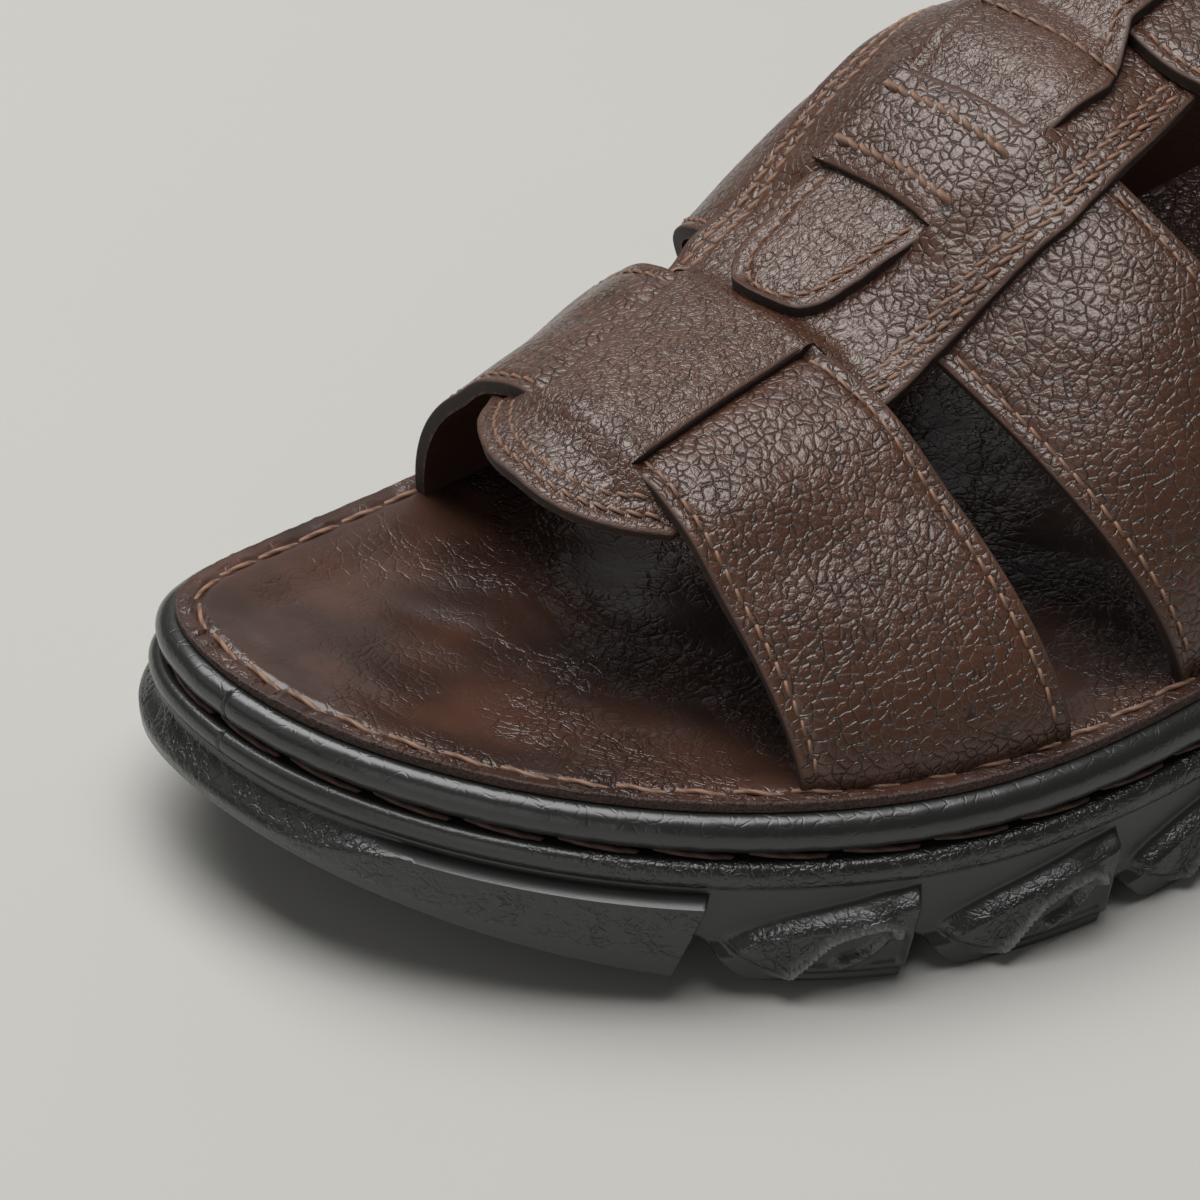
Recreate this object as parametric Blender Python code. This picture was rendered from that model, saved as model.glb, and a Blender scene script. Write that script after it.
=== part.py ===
"""Fisherman sandal for the left foot, modelled at its real size.

Four pieces are put together as a maker does: a moulded outsole with lugs round its side, a round
bead welt, a dished insole and one leather upper whose crossing straps are joined into one wall.
The toe points to -Y, the outer (lateral) side of the foot is +X and +Z is up.
"""
import bmesh
import bpy
import numpy as np

MM = 0.001

# Driving sizes, in millimetres
INSOLE_LENGTH = 270.0
BALL_WIDTH = 103.5
WALL = 2.2
SEAT_GAP = 0.3
SHARP_ANGLE = 35.0
# The outsole's box is centred on the origin by this shift from the toe tip
TIP_OUT = 22.79
TIP_BACK = 135.0

# Edge of the insole seen from above: share of the length back from the toe tip, and share of the
# ball width out from it, going round the outer side to the heel and back along the inner side
PLAN = (
    ("toe tip", 0.0, 0.0),
    ("third toe", 0.035, 0.261),
    ("fourth toe", 0.096, 0.444),
    ("little toe", 0.185, 0.606),
    ("outer ball front", 0.281, 0.700),
    ("outer ball", 0.378, 0.720),
    ("outer waist", 0.611, 0.657),
    ("outer heel", 0.859, 0.575),
    ("outer heel corner", 0.959, 0.464),
    ("heel back", 1.0, 0.261),
    ("inner heel corner", 0.959, 0.048),
    ("inner heel", 0.859, -0.077),
    ("inner waist", 0.611, -0.169),
    ("inner arch", 0.463, -0.246),
    ("inner ball", 0.315, -0.280),
    ("inner ball front", 0.185, -0.260),
    ("big toe", 0.074, -0.231),
    ("big toe corner", 0.0185, -0.177),
)

# Height of the seam where the insole's edge lies on the welt
SEAM_HEIGHT = 26.0
SEAM_TOE_RISE = 8.0
SEAM_TOE_REACH = 75.0
SEAM_HEEL_RISE = 10.0
SEAM_HEEL_START = 130.0
SEAM_HEEL_RUN = 80.0

# Underside of the outsole: toe spring, arch and the turned-up back of the heel
TOE_SPRING = 15.5
SPRING_REACH = 70.0
SPRING_POWER = 2.2
ARCH_RISE = 4.5
ARCH_START = 160.0
ARCH_RUN = 45.0
HEEL_LIFT = 1.5
HEEL_LIFT_START = 256.0
HEEL_LIFT_RUN = 19.0

# Welt: a round bead whose flat inner face stands against the insole
BEAD_RADIUS = 3.0
BEAD_CENTRE_OUT = -0.3
BEAD_POINTS = 9
WELT_INNER = -2.3

# Outsole side, offsets outward from the seam and drops below it
PLATFORM_DROP = 6.3
PLATFORM_INNER = -4.0
PLATFORM_OUT = 1.3
SIDE_WALL_OUT = 2.7
RIB_SIDE = (
    # out, drop
    (3.0, 6.6),
    (3.9, 8.3),
    (3.5, 9.6),
    (2.7, 10.4),
)
LUG_TOP_DROP = 11.6
LUG_OUT = 5.2
LUG_EDGE = 0.7
LUG_TOP_LEAN = 0.2
GROOVE_DEPTH = 5.0
GROOVE_REACH = 10.0
GROOVE_END_RUN = 1.5

# Lugs along each side, as shares of that side from toe tip to heel back
LUG_FIRST = 0.2207
LUG_PITCH = 0.0867
LUG_GAP = 0.0095
LUG_COUNT = 8
LUG_EDGE_SHARE = 0.0014
LUG_LEAF_SHARE = 0.22
LUG_TOP_SHARE = 0.6
LUG_LEAF_TOP = 4.0
LUG_LEAF_FOOT = 5.5
LUG_COLUMNS = (0.0, 0.12, 0.3, 0.65, 1.0)
TOE_COLUMNS = 13
HEEL_COLUMNS = 6

# Insole
INSOLE_LIP = 1.8
INSOLE_BODY_OUT = -2.6
INSOLE_EDGE_ROUND = 0.5
INSOLE_DISH = 2.6
DISH_TOE_RUN = 30.0
DISH_HEEL_RUN = 25.0
HEEL_CUP = 2.0
HEEL_CUP_START = 190.0
HEEL_CUP_RUN = 50.0
INSOLE_COLUMNS = 44
INSOLE_ROWS = 8

# Last under the straps: back from the toe, ridge out from the toe tip, ridge height,
# fullness of the inner and of the outer side (2 is an ellipse, more is squarer)
LAST = (
    # back, ridge out, ridge height, inner fullness, outer fullness
    (20.0, 13.3, 52.0, 2.2, 1.50),
    (36.0, 13.2, 56.3, 2.2, 1.50),
    (50.0, 13.0, 58.4, 2.2, 1.50),
    (66.0, 12.8, 59.6, 2.4, 1.55),
    (83.0, 12.5, 60.8, 2.8, 1.65),
    (92.0, 12.0, 63.2, 3.0, 1.75),
    (101.0, 11.5, 69.2, 3.3, 1.88),
    (113.0, 10.0, 77.3, 3.4, 2.00),
    (122.0, 9.5, 80.3, 3.5, 2.00),
    (132.0, 9.0, 82.0, 3.5, 2.05),
    (150.0, 9.0, 84.0, 3.2, 2.10),
    (175.0, 13.0, 87.0, 2.8, 2.20),
    (200.0, 20.0, 91.0, 2.4, 2.20),
)
STRAP_INSET = 5.0
LEG_DEPTH = 4.5
SLOT_POINTS = 7

# Saddle along the foot: its middle out from the toe tip and its half width, then the same for
# the over-band and the centre strip that run along it
SADDLE = (
    # back, middle out, half width, strip middle out, strip half width
    (34.0, 16.5, 18.0, 15.2, 8.6),
    (50.0, 16.3, 18.5, 15.0, 8.7),
    (82.0, 14.3, 20.3, 11.2, 11.8),
    (101.0, 13.2, 22.2, 12.0, 13.4),
    (114.0, 12.4, 22.6, 10.4, 14.2),
    (128.0, 10.4, 23.0, 9.4, 14.2),
    (140.0, 9.0, 22.4, 9.0, 14.0),
    (172.0, 13.0, 20.0, 13.0, 13.0),
    (205.0, 20.0, 15.0, 20.0, 10.0),
)

# Lines across the straps: how far back each lies at five places round the foot
CROSS_LINES = (
    # name, inner base, inner edge, middle, outer edge, outer base, rows to the next line
    ("tab front", 48.0, 48.0, 35.6, 48.0, 48.0, 4),
    ("strap 1 front", 48.3, 48.4, 48.6, 49.4, 50.0, 6),
    ("strap 1 rear", 84.0, 80.6, 80.2, 82.4, 84.6, 1),
    ("strip tip", 88.5, 88.5, 84.4, 88.5, 88.5, 2),
    ("strap 2 front", 104.0, 92.5, 91.5, 92.8, 103.0, 3),
    ("slit 2", 115.0, 102.0, 102.2, 103.6, 115.0, 4),
    ("slit 1", 131.0, 114.0, 115.2, 118.6, 130.0, 2),
    ("strap 2 rear", 141.0, 122.8, 123.4, 123.4, 140.0, 4),
    ("strap 3 front", 166.0, 141.0, 140.2, 140.6, 166.0, 6),
    ("strap 3 rear", 200.0, 174.0, 168.0, 172.0, 198.0, 0),
)
LINE_NAMES = tuple(line[0] for line in CROSS_LINES)
ROUND_LINES = ("tab front", "strip tip")
ROUND_POWER = 2.4

# Girth places: 0 is the middle of the saddle, 1 its edge, 2 the insole; the strip's own edge
# is put in between by the table above
SIDE_PLACES = (1.0, 1.1, 1.22, 1.4, 1.6, 1.8, 2.0)
LEG_PLACE = 2.1
WING_SHARES = (0.25, 0.8)
STRIP_SHARES = (-0.5, 0.0, 0.5)

# Heights over the last, in millimetres, and how far each one takes to rise
CROSSING_LIFT = 2.0
CROSSING_RUN = 0.3
SWELL_LIFT = 0.9
SWELL_RUN = 7.0
SADDLE_LIFT = 1.6
SADDLE_RUN = 12.0
STRIP_LIFT = 2.0
BAR_LIFT = 1.4
RAMP = 5.0

# Heel strap that runs from one side of strap 3 round the back of the foot
HEEL_STRAP_LOW = 1.6
HEEL_STRAP_HIGH = 1.22
HEEL_STRAP_MIDDLE = 27.0
HEEL_STRAP_BACK = 261.0
HEEL_STRAP_LOW_Z = 66.0
HEEL_STRAP_TOP_Z = 94.0
HEEL_STRAP_LEAN = 3.0
HEEL_STRAP_HALF = 29.0
HEEL_STRAP_FILL = 0.7
HEEL_STRAP_ROUND = 3.0
HEEL_STRAP_TURN = 0.4
HEEL_STRAP_COLUMNS = 14

# Colours of the finished pieces: red, green, blue, roughness
LEATHER_BROWN = (0.065, 0.034, 0.023, 0.45)
INSOLE_BROWN = (0.115, 0.050, 0.034, 0.38)
WELT_BLACK = (0.026, 0.027, 0.027, 0.32)
SOLE_BLACK = (0.028, 0.029, 0.028, 0.5)


def smooth(share):
    """Ease from 0 to 1 with level ends."""
    share = np.clip(share, 0.0, 1.0)
    return share * share * (3.0 - 2.0 * share)


def natural_curve(knots, values, at):
    """Read a natural cubic curve through (knots, values) at the given places."""
    knots = np.asarray(knots, float)
    values = np.asarray(values, float)
    at = np.asarray(at, float)
    count = len(knots)
    step = np.diff(knots)
    matrix = np.eye(count)
    right = np.zeros(count)
    for i in range(1, count - 1):
        matrix[i, i - 1:i + 2] = step[i - 1], 2.0 * (step[i - 1] + step[i]), step[i]
        rise = (values[i + 1] - values[i]) / step[i] - (values[i] - values[i - 1]) / step[i - 1]
        right[i] = 6.0 * rise
    bend = np.linalg.solve(matrix, right)
    i = np.clip(np.searchsorted(knots, at) - 1, 0, count - 2)
    low = (knots[i + 1] - at) / step[i]
    high = (at - knots[i]) / step[i]
    curve = (low**3 - low) * bend[i] + (high**3 - high) * bend[i + 1]
    return low * values[i] + high * values[i + 1] + curve * step[i]**2 / 6.0


def closed_curve(points, at):
    """Read a closed cubic curve through the points; `at` runs from 0 to 1 by chord length."""
    count = len(points)
    after = np.roll(points, -1, axis=0)
    step = np.linalg.norm(after - points, axis=1)
    knots = np.concatenate([[0.0], np.cumsum(step)])
    matrix = np.zeros((count, count))
    right = np.zeros((count, 2))
    for i in range(count):
        back = (i - 1) % count
        ahead = (i + 1) % count
        matrix[i, back] += step[back]
        matrix[i, i] += 2.0 * (step[back] + step[i])
        matrix[i, ahead] += step[i]
        slope_on = (points[ahead] - points[i]) / step[i]
        slope_in = (points[i] - points[back]) / step[back]
        right[i] = 6.0 * (slope_on - slope_in)
    bend = np.linalg.solve(matrix, right)
    place = (np.asarray(at, float) % 1.0) * knots[-1]
    i = np.clip(np.searchsorted(knots, place, side="right") - 1, 0, count - 1)
    ahead = (i + 1) % count
    low = ((knots[i + 1] - place) / step[i])[..., None]
    high = ((place - knots[i]) / step[i])[..., None]
    curve = (low**3 - low) * bend[i] + (high**3 - high) * bend[ahead]
    return low * points[i] + high * points[ahead] + curve * step[i][..., None]**2 / 6.0


class Outline:
    """The insole's edge as a closed curve, with both sides measured from toe tip to heel back."""

    def __init__(self, samples=3000):
        self.points = np.array([(out * BALL_WIDTH, back * INSOLE_LENGTH) for _, back, out in PLAN])
        turn = np.arange(samples + 1) / samples
        curve = closed_curve(self.points, turn)
        run = np.concatenate([[0.0], np.cumsum(np.linalg.norm(np.diff(curve, axis=0), axis=1))])
        heel = int(np.argmax(curve[:, 1]))
        self.outer = (run[:heel + 1] / run[heel], turn[:heel + 1])
        inner_run = (run[-1] - run[heel:])[::-1]
        self.inner = (inner_run / inner_run[-1], turn[heel:][::-1])

    def turn(self, share, outer):
        """Place on the closed curve at a share of one side's length."""
        shares, turns = self.outer if outer else self.inner
        return np.interp(share, shares, turns)

    def offset(self, turn, out):
        """Points (out, back) at a distance outward from the edge."""
        turn = np.asarray(turn, float)
        nudge = 1e-4
        along = closed_curve(self.points, turn + nudge) - closed_curve(self.points, turn - nudge)
        along /= np.linalg.norm(along, axis=-1, keepdims=True)
        normal = np.stack([along[..., 1], -along[..., 0]], axis=-1)
        return closed_curve(self.points, turn) + normal * np.asarray(out, float)[..., None]

    def ring(self, shares, out):
        """Outer side from toe to heel, then the inner side back to the toe, as one loop."""
        outer_turn = self.turn(shares, True)
        inner_turn = self.turn(shares[1:-1][::-1], False)
        return self.offset(np.concatenate([outer_turn, inner_turn]), out)


EDGE = Outline()


def both_sides(values):
    """Repeat values given from toe to heel along the inner side back to the toe."""
    return np.concatenate([values, values[1:-1][::-1]])


def seam_height(back):
    """Height of the seam under the insole's edge: raised at the toe and at the heel."""
    toe = SEAM_TOE_RISE * np.clip(1.0 - back / SEAM_TOE_REACH, 0.0, None)**2
    heel = SEAM_HEEL_RISE * smooth((back - SEAM_HEEL_START) / SEAM_HEEL_RUN)
    return SEAM_HEIGHT + toe + heel


def ground_height(back):
    """Height of the outsole's underside over the floor."""
    toe = TOE_SPRING * np.clip(1.0 - back / SPRING_REACH, 0.0, None)**SPRING_POWER
    arch = ARCH_RISE * np.sin(np.pi * np.clip((back - ARCH_START) / ARCH_RUN, 0.0, 1.0))**2
    heel = HEEL_LIFT * np.clip((back - HEEL_LIFT_START) / HEEL_LIFT_RUN, 0.0, None)**2
    return toe + arch + heel


def place(out, back, height):
    """Turn millimetres from the toe tip into metres in the sandal's own frame."""
    return np.stack([out - TIP_OUT, back - TIP_BACK, height], axis=-1) * MM


class Skin:
    """Points and faces of one piece while it is put together."""

    def __init__(self):
        self.points = []
        self.faces = []

    def add(self, points):
        """Add points and return their numbers."""
        first = len(self.points)
        self.points.extend(map(tuple, points))
        return list(range(first, len(self.points)))

    def loft(self, rings):
        """Join closed rings of equal length, one to the next."""
        for low, high in zip(rings, rings[1:]):
            count = len(low)
            for i in range(count):
                j = (i + 1) % count
                self.faces.append((low[i], low[j], high[j], high[i]))

    def bridge(self, ring):
        """Close a ring with strips from the outer side straight across to the inner side."""
        half = len(ring) // 2
        for i in range(half):
            strip = (ring[i], ring[i + 1], ring[-i - 1], ring[-i])
            self.faces.append(tuple(dict.fromkeys(strip)))


def add_object(name, skin, material, collection):
    """Make a closed mesh object from a skin."""
    mesh = bpy.data.meshes.new(name)
    mesh.from_pydata(skin.points, [], skin.faces)
    body = bmesh.new()
    body.from_mesh(mesh)
    bmesh.ops.remove_doubles(body, verts=body.verts, dist=1e-7)
    bmesh.ops.triangulate(body, faces=body.faces)
    bmesh.ops.recalc_face_normals(body, faces=body.faces)
    body.to_mesh(mesh)
    body.free()
    if material:
        mesh.materials.append(material)
    mesh.shade_smooth()
    mesh.set_sharp_from_angle(angle=np.radians(SHARP_ANGLE))
    piece = bpy.data.objects.new(name, mesh)
    collection.objects.link(piece)
    return piece


def make_material(name, look):
    """Principled material from red, green, blue and roughness."""
    material = bpy.data.materials.new(name)
    material.use_nodes = True
    shader = material.node_tree.nodes["Principled BSDF"]
    shader.inputs["Base Color"].default_value = (*look[:3], 1.0)
    shader.inputs["Roughness"].default_value = look[3]
    shader.inputs["Metallic"].default_value = 0.0
    return material


def lug_columns():
    """Shares of a side where the outsole has a column, with its lug amount and place in the lug.

    A place in the lug of 0 is its pointed front end and 1 its rear end. The toe and heel lugs
    have no pointed end.
    """
    columns = []
    for share in np.linspace(0.0, LUG_FIRST - LUG_GAP, TOE_COLUMNS):
        columns.append((share, 1.0, 1.0))
    for lug in range(LUG_COUNT + 1):
        front = LUG_FIRST + lug * LUG_PITCH
        columns.append((front - LUG_GAP + LUG_EDGE_SHARE, 0.0, 1.0))
        columns.append((front - LUG_EDGE_SHARE, 0.0, 0.0))
        if lug < LUG_COUNT:
            length = LUG_PITCH - LUG_GAP
            columns.extend((front + length * along, 1.0, along) for along in LUG_COLUMNS)
    heel_front = LUG_FIRST + LUG_COUNT * LUG_PITCH
    for share in np.linspace(heel_front, 1.0, HEEL_COLUMNS):
        columns.append((share, 1.0, 1.0))
    return np.array(columns).T


def make_outsole(material, collection):
    """Moulded outsole: platform, groove, rounded rib, plain wall, lugs and tread."""
    shares, lug, along = lug_columns()
    lug = both_sides(lug)
    along = both_sides(along)
    leaf = smooth(along / LUG_LEAF_SHARE)
    top_fall = LUG_LEAF_TOP * (1.0 - smooth(along / LUG_TOP_SHARE))
    foot_rise = LUG_LEAF_FOOT * (1.0 - leaf) * lug
    lug_face = SIDE_WALL_OUT + (LUG_OUT - SIDE_WALL_OUT) * lug
    lug_foot = SIDE_WALL_OUT + (LUG_OUT - SIDE_WALL_OUT) * lug * leaf
    gap = 1.0 - lug

    def row(out, below_seam=None, above_ground=None):
        out = np.broadcast_to(np.asarray(out, float), lug.shape)
        plan = EDGE.ring(shares, out)
        back = plan[:, 1]
        if below_seam is not None:
            height = seam_height(back) - below_seam
        else:
            height = ground_height(back) + above_ground
        return place(plan[:, 0], back, height)

    skin = Skin()
    rows = [
        row(PLATFORM_INNER, below_seam=PLATFORM_DROP),
        row(PLATFORM_OUT, below_seam=PLATFORM_DROP),
        *(row(out, below_seam=drop) for out, drop in RIB_SIDE),
        row(SIDE_WALL_OUT, below_seam=LUG_TOP_DROP + top_fall),
        row(lug_face - LUG_TOP_LEAN * lug, below_seam=LUG_TOP_DROP + top_fall + LUG_EDGE),
        row(lug_face, above_ground=LUG_EDGE + foot_rise + GROOVE_DEPTH * gap),
        row(lug_foot - LUG_EDGE, above_ground=GROOVE_DEPTH * gap),
        row(-GROOVE_REACH, above_ground=GROOVE_DEPTH * gap),
        row(-GROOVE_REACH - GROOVE_END_RUN, above_ground=0.0),
    ]
    rings = [skin.add(points) for points in rows]
    skin.loft(rings)
    skin.bridge(rings[0])
    skin.bridge(rings[-1])
    return add_object("outsole", skin, material, collection)


def make_welt(material, collection):
    """Round bead that runs all the way round under the insole's edge."""
    shares = np.linspace(0.0, 1.0, INSOLE_COLUMNS + 1)
    round_side = np.radians(np.linspace(90.0, -90.0, BEAD_POINTS))
    profile = [(BEAD_CENTRE_OUT + BEAD_RADIUS * np.cos(a), BEAD_RADIUS * (np.sin(a) - 1.0))
               for a in round_side]
    profile += [(WELT_INNER, -2.0 * BEAD_RADIUS), (WELT_INNER, 0.0)]
    skin = Skin()
    rings = []
    for out, rise in profile:
        plan = EDGE.ring(shares, np.full(2 * INSOLE_COLUMNS, out))
        rings.append(skin.add(place(plan[:, 0], plan[:, 1], seam_height(plan[:, 1]) + rise)))
    skin.loft(rings + rings[:1])
    return add_object("welt", skin, material, collection)


def insole_top(back, across):
    """Dished top: level with its edge at the sides, deepest along the middle and at the heel."""
    dish = INSOLE_DISH + HEEL_CUP * smooth((back - HEEL_CUP_START) / HEEL_CUP_RUN)
    hollow = dish * (1.0 - np.abs(2.0 * across - 1.0)**3)
    ends = smooth(back / DISH_TOE_RUN) * smooth((INSOLE_LENGTH - back) / DISH_HEEL_RUN)
    return seam_height(back) + SEAT_GAP + INSOLE_LIP - hollow * ends


def make_insole(material, collection):
    """Leather-covered insole: a body inside the welt with a lip that lies on the bead."""
    shares = np.linspace(0.0, 1.0, INSOLE_COLUMNS + 1)
    count = 2 * INSOLE_COLUMNS
    profile = (
        (INSOLE_BODY_OUT, SEAT_GAP - PLATFORM_DROP),
        (INSOLE_BODY_OUT, SEAT_GAP),
        (0.0, SEAT_GAP),
        (0.0, SEAT_GAP + INSOLE_LIP - INSOLE_EDGE_ROUND),
        (-INSOLE_EDGE_ROUND, SEAT_GAP + INSOLE_LIP),
    )
    skin = Skin()
    rings = []
    for out, rise in profile:
        plan = EDGE.ring(shares, np.full(count, out))
        rings.append(skin.add(place(plan[:, 0], plan[:, 1], seam_height(plan[:, 1]) + rise)))
    skin.loft(rings)
    skin.bridge(rings[0])
    edge = EDGE.ring(shares, np.full(count, profile[-1][0]))
    across = np.linspace(0.0, 1.0, INSOLE_ROWS + 1)[1:-1]
    lines = []
    for i in range(1, INSOLE_COLUMNS):
        outer = edge[i]
        inner = edge[count - i]
        span = outer + (inner - outer) * across[:, None]
        middle = skin.add(place(span[:, 0], span[:, 1], insole_top(span[:, 1], across)))
        lines.append([rings[-1][i], *middle, rings[-1][count - i]])
    for line, after in zip(lines, lines[1:]):
        for k in range(INSOLE_ROWS):
            skin.faces.append((line[k], line[k + 1], after[k + 1], after[k]))
    for tip, line in ((rings[-1][0], lines[0]), (rings[-1][INSOLE_COLUMNS], lines[-1])):
        skin.faces.extend((tip, line[k], line[k + 1]) for k in range(INSOLE_ROWS))
    return add_object("insole", skin, material, collection)


def column(table, index):
    """One named column of a table against its first column."""
    rows = np.array(table)
    return rows[:, 0], rows[:, index]


def strap_base_line(outer, samples=400):
    """Points (back, out) of the line along one side where the straps enter the insole."""
    turns = EDGE.turn(np.linspace(0.02, 0.98, samples), outer)
    plan = EDGE.offset(turns, np.full(samples, -STRAP_INSET))
    return plan[:, 1], plan[:, 0]


OUTER_BASE = strap_base_line(True)
INNER_BASE = strap_base_line(False)


def last_point(back, girth):
    """Point of the last at a distance back and a girth place, as (out, back, height).

    Each half section is a superellipse from the ridge to the insole's edge. Within the saddle
    the girth place goes by width, beyond it by the angle of the section, and past 2 it goes
    straight down into the insole.
    """
    back, girth = np.broadcast_arrays(np.asarray(back, float), np.asarray(girth, float))
    ridge = natural_curve(*column(LAST, 1), back)
    top = natural_curve(*column(LAST, 2), back)
    base = seam_height(back) + SEAT_GAP + INSOLE_LIP
    middle = np.interp(back, *column(SADDLE, 1))
    half = np.interp(back, *column(SADDLE, 2))
    edge = middle + half * np.clip(girth, -1.0, 1.0)
    outer = edge > ridge
    reach = np.where(outer, np.interp(back, *OUTER_BASE) - ridge, ridge - np.interp(back, *INNER_BASE))
    full = np.where(outer, natural_curve(*column(LAST, 4), back), natural_curve(*column(LAST, 3), back))
    share = np.clip(np.abs(edge - ridge) / reach, 0.0, 1.0)
    angle = np.arcsin(share**(full / 2.0))
    angle = angle + (np.pi / 2.0 - angle) * np.clip(np.abs(girth) - 1.0, 0.0, 1.0)
    side = np.where(outer, 1.0, -1.0)
    out = ridge + side * reach * np.sin(angle)**(2.0 / full)
    rise = np.clip(np.cos(angle), 0.0, 1.0)**(2.0 / full)
    leg = np.clip((np.abs(girth) - 2.0) / (LEG_PLACE - 2.0), 0.0, 1.0)
    height = base + (top - base) * rise - LEG_DEPTH * leg
    return np.stack([out, back, height], axis=-1)


def over_last(back, girth, height):
    """Point at a height over the last, square to its surface."""
    nudge_back = 0.4
    nudge_girth = 0.004
    inside = np.clip(girth, -2.0 + nudge_girth, 2.0 - nudge_girth)
    along = last_point(back + nudge_back, girth) - last_point(back - nudge_back, girth)
    around = last_point(back, inside + nudge_girth) - last_point(back, inside - nudge_girth)
    normal = np.cross(around, along)
    normal /= np.linalg.norm(normal, axis=-1, keepdims=True)
    return last_point(back, girth) + normal * np.asarray(height, float)[..., None]


def cross_line(name, girth):
    """How far back a named line across the straps lies at a girth place."""
    places = (-2.0, -1.0, 0.0, 1.0, 2.0)
    backs = CROSS_LINES[LINE_NAMES.index(name)][1:6]
    if name in ROUND_LINES:
        return backs[2] + (backs[3] - backs[2]) * np.clip(np.abs(girth), 0.0, 1.0)**ROUND_POWER
    return natural_curve(places, backs, np.clip(girth, -2.0, 2.0))


def strip_edges(back):
    """Girth places of the inner and outer edge of the over-band or centre strip."""
    middle = np.interp(back, *column(SADDLE, 1))
    half = np.interp(back, *column(SADDLE, 2))
    shift = np.interp(back, *column(SADDLE, 3)) - middle
    strip_half = np.interp(back, *column(SADDLE, 4))
    return (shift - strip_half) / half, (shift + strip_half) / half


def strip_share(girth, strip):
    """How far across the strip a girth place lies: 0 in its middle, 1 at either edge."""
    return 2.0 * abs(girth - (strip[0] + strip[1]) / 2.0) / (strip[1] - strip[0])


class StrapGrid:
    """Grid of cells over the last whose lines follow the edges of the straps and the saddle."""

    def __init__(self):
        self.row_names = []
        self.row_shares = []
        for line, after in zip(CROSS_LINES, CROSS_LINES[1:]):
            for k in range(line[6]):
                self.row_names.append((line[0], after[0]))
                self.row_shares.append(k / line[6])
        self.row_names.append((CROSS_LINES[-1][0], CROSS_LINES[-1][0]))
        self.row_shares.append(0.0)
        side = list(SIDE_PLACES) + [LEG_PLACE]
        # A place below 1 is a share of the wing or of the strip, worked out row by row
        wing = [("wing", share) for share in (*WING_SHARES, 1.0)]
        right = [("strip", 1.0)] + wing + [("side", value) for value in side[1:]]
        left = [(kind, -value) for kind, value in reversed(right)]
        self.columns = left + [("strip", value) for value in STRIP_SHARES] + right
        self.backs = np.zeros((len(self.row_names), len(self.columns)))
        self.girths = np.zeros_like(self.backs)
        self.strips = np.zeros((len(self.row_names), 2))
        self.lay_out()

    def lay_out(self):
        """Distance back and girth place of every crossing, and the strip's edge in every row."""
        for i, ((front, rear), share) in enumerate(zip(self.row_names, self.row_shares)):
            middle = cross_line(front, 0.0) * (1.0 - share) + cross_line(rear, 0.0) * share
            inner, outer = strip_edges(middle)
            self.strips[i] = inner, outer
            for j, (kind, value) in enumerate(self.columns):
                girth = value
                if kind == "strip":
                    girth = inner + (outer - inner) * (value + 1.0) / 2.0
                if kind == "wing":
                    near = outer if value > 0.0 else inner
                    girth = near + (np.sign(value) - near) * abs(value)
                back = cross_line(front, girth) * (1.0 - share) + cross_line(rear, girth) * share
                self.girths[i, j] = girth
                self.backs[i, j] = back


def saddle_top(back, girth, strip):
    """Outer height of the saddle: raised over strap 1 as a band, then over strap 2."""
    front = cross_line("strap 1 front", girth)
    rear = cross_line("strap 1 rear", girth)
    across = min(strip_share(girth, strip), 1.0)
    swell = SWELL_LIFT * (1.0 - across**2)
    in_front = smooth((back - front + SWELL_RUN) / SWELL_RUN) * swell
    over = np.clip((back - front) / RAMP, 0.0, 1.0) * np.clip((rear - back) / RAMP, 0.0, 1.0)
    behind = SADDLE_LIFT * smooth((back - rear) / SADDLE_RUN)
    hand_over = smooth((rear + SWELL_RUN - back) / SWELL_RUN)
    return WALL + max(in_front * hand_over, CROSSING_LIFT * over, behind)


def strap_one_top(girth, strip):
    """Outer height of strap 1: over the saddle's wings, down through the slits beside the band."""
    near = strip[1] if girth > 0.0 else strip[0]
    wing = np.sign(girth) - near
    rise = smooth((SIDE_PLACES[2] - abs(girth)) / CROSSING_RUN)
    dip = smooth((girth - near) / (WING_SHARES[0] * wing))
    return WALL + CROSSING_LIFT * rise * dip


def cell_heights(grid, zone, inside, strip_cell, i, j):
    """Lower and upper height over the last at one corner of a cell, or None for a gap."""
    back = grid.backs[i, j]
    girth = grid.girths[i, j]
    strip = grid.strips[i]
    top = saddle_top(back, np.clip(girth, -1.0, 1.0), strip)
    if zone == "tab front":
        return (0.0, top) if inside else None
    if zone == "strap 1 front":
        if strip_cell:
            return (0.0, top)
        return (0.0, strap_one_top(girth, strip))
    if not inside:
        if zone in ("strap 2 front", "slit 2", "slit 1"):
            return (0.0, WALL)
        if zone == "strap 3 front":
            share = (HEEL_STRAP_HIGH - abs(girth)) / (HEEL_STRAP_HIGH - 1.0)
            return (0.0, WALL + SADDLE_LIFT * smooth(share))
        return None
    low = top - WALL if zone in ("strap 1 rear", "strip tip", "strap 2 rear") else 0.0
    if strip_cell and zone in ("strip tip", "strap 2 front"):
        slit = cross_line("slit 2", girth)
        top += STRIP_LIFT * np.clip((slit - back) / RAMP, 0.0, 1.0)
    elif strip_cell and zone == "slit 2":
        top += BAR_LIFT * (1.0 - min(strip_share(girth, strip), 1.0)**4)
    elif strip_cell and zone in ("slit 1", "strap 2 rear", "strap 3 front"):
        slit = cross_line("slit 1", girth)
        top += STRIP_LIFT * np.clip((back - slit) / RAMP, 0.0, 1.0)
    return (low, top)


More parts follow.
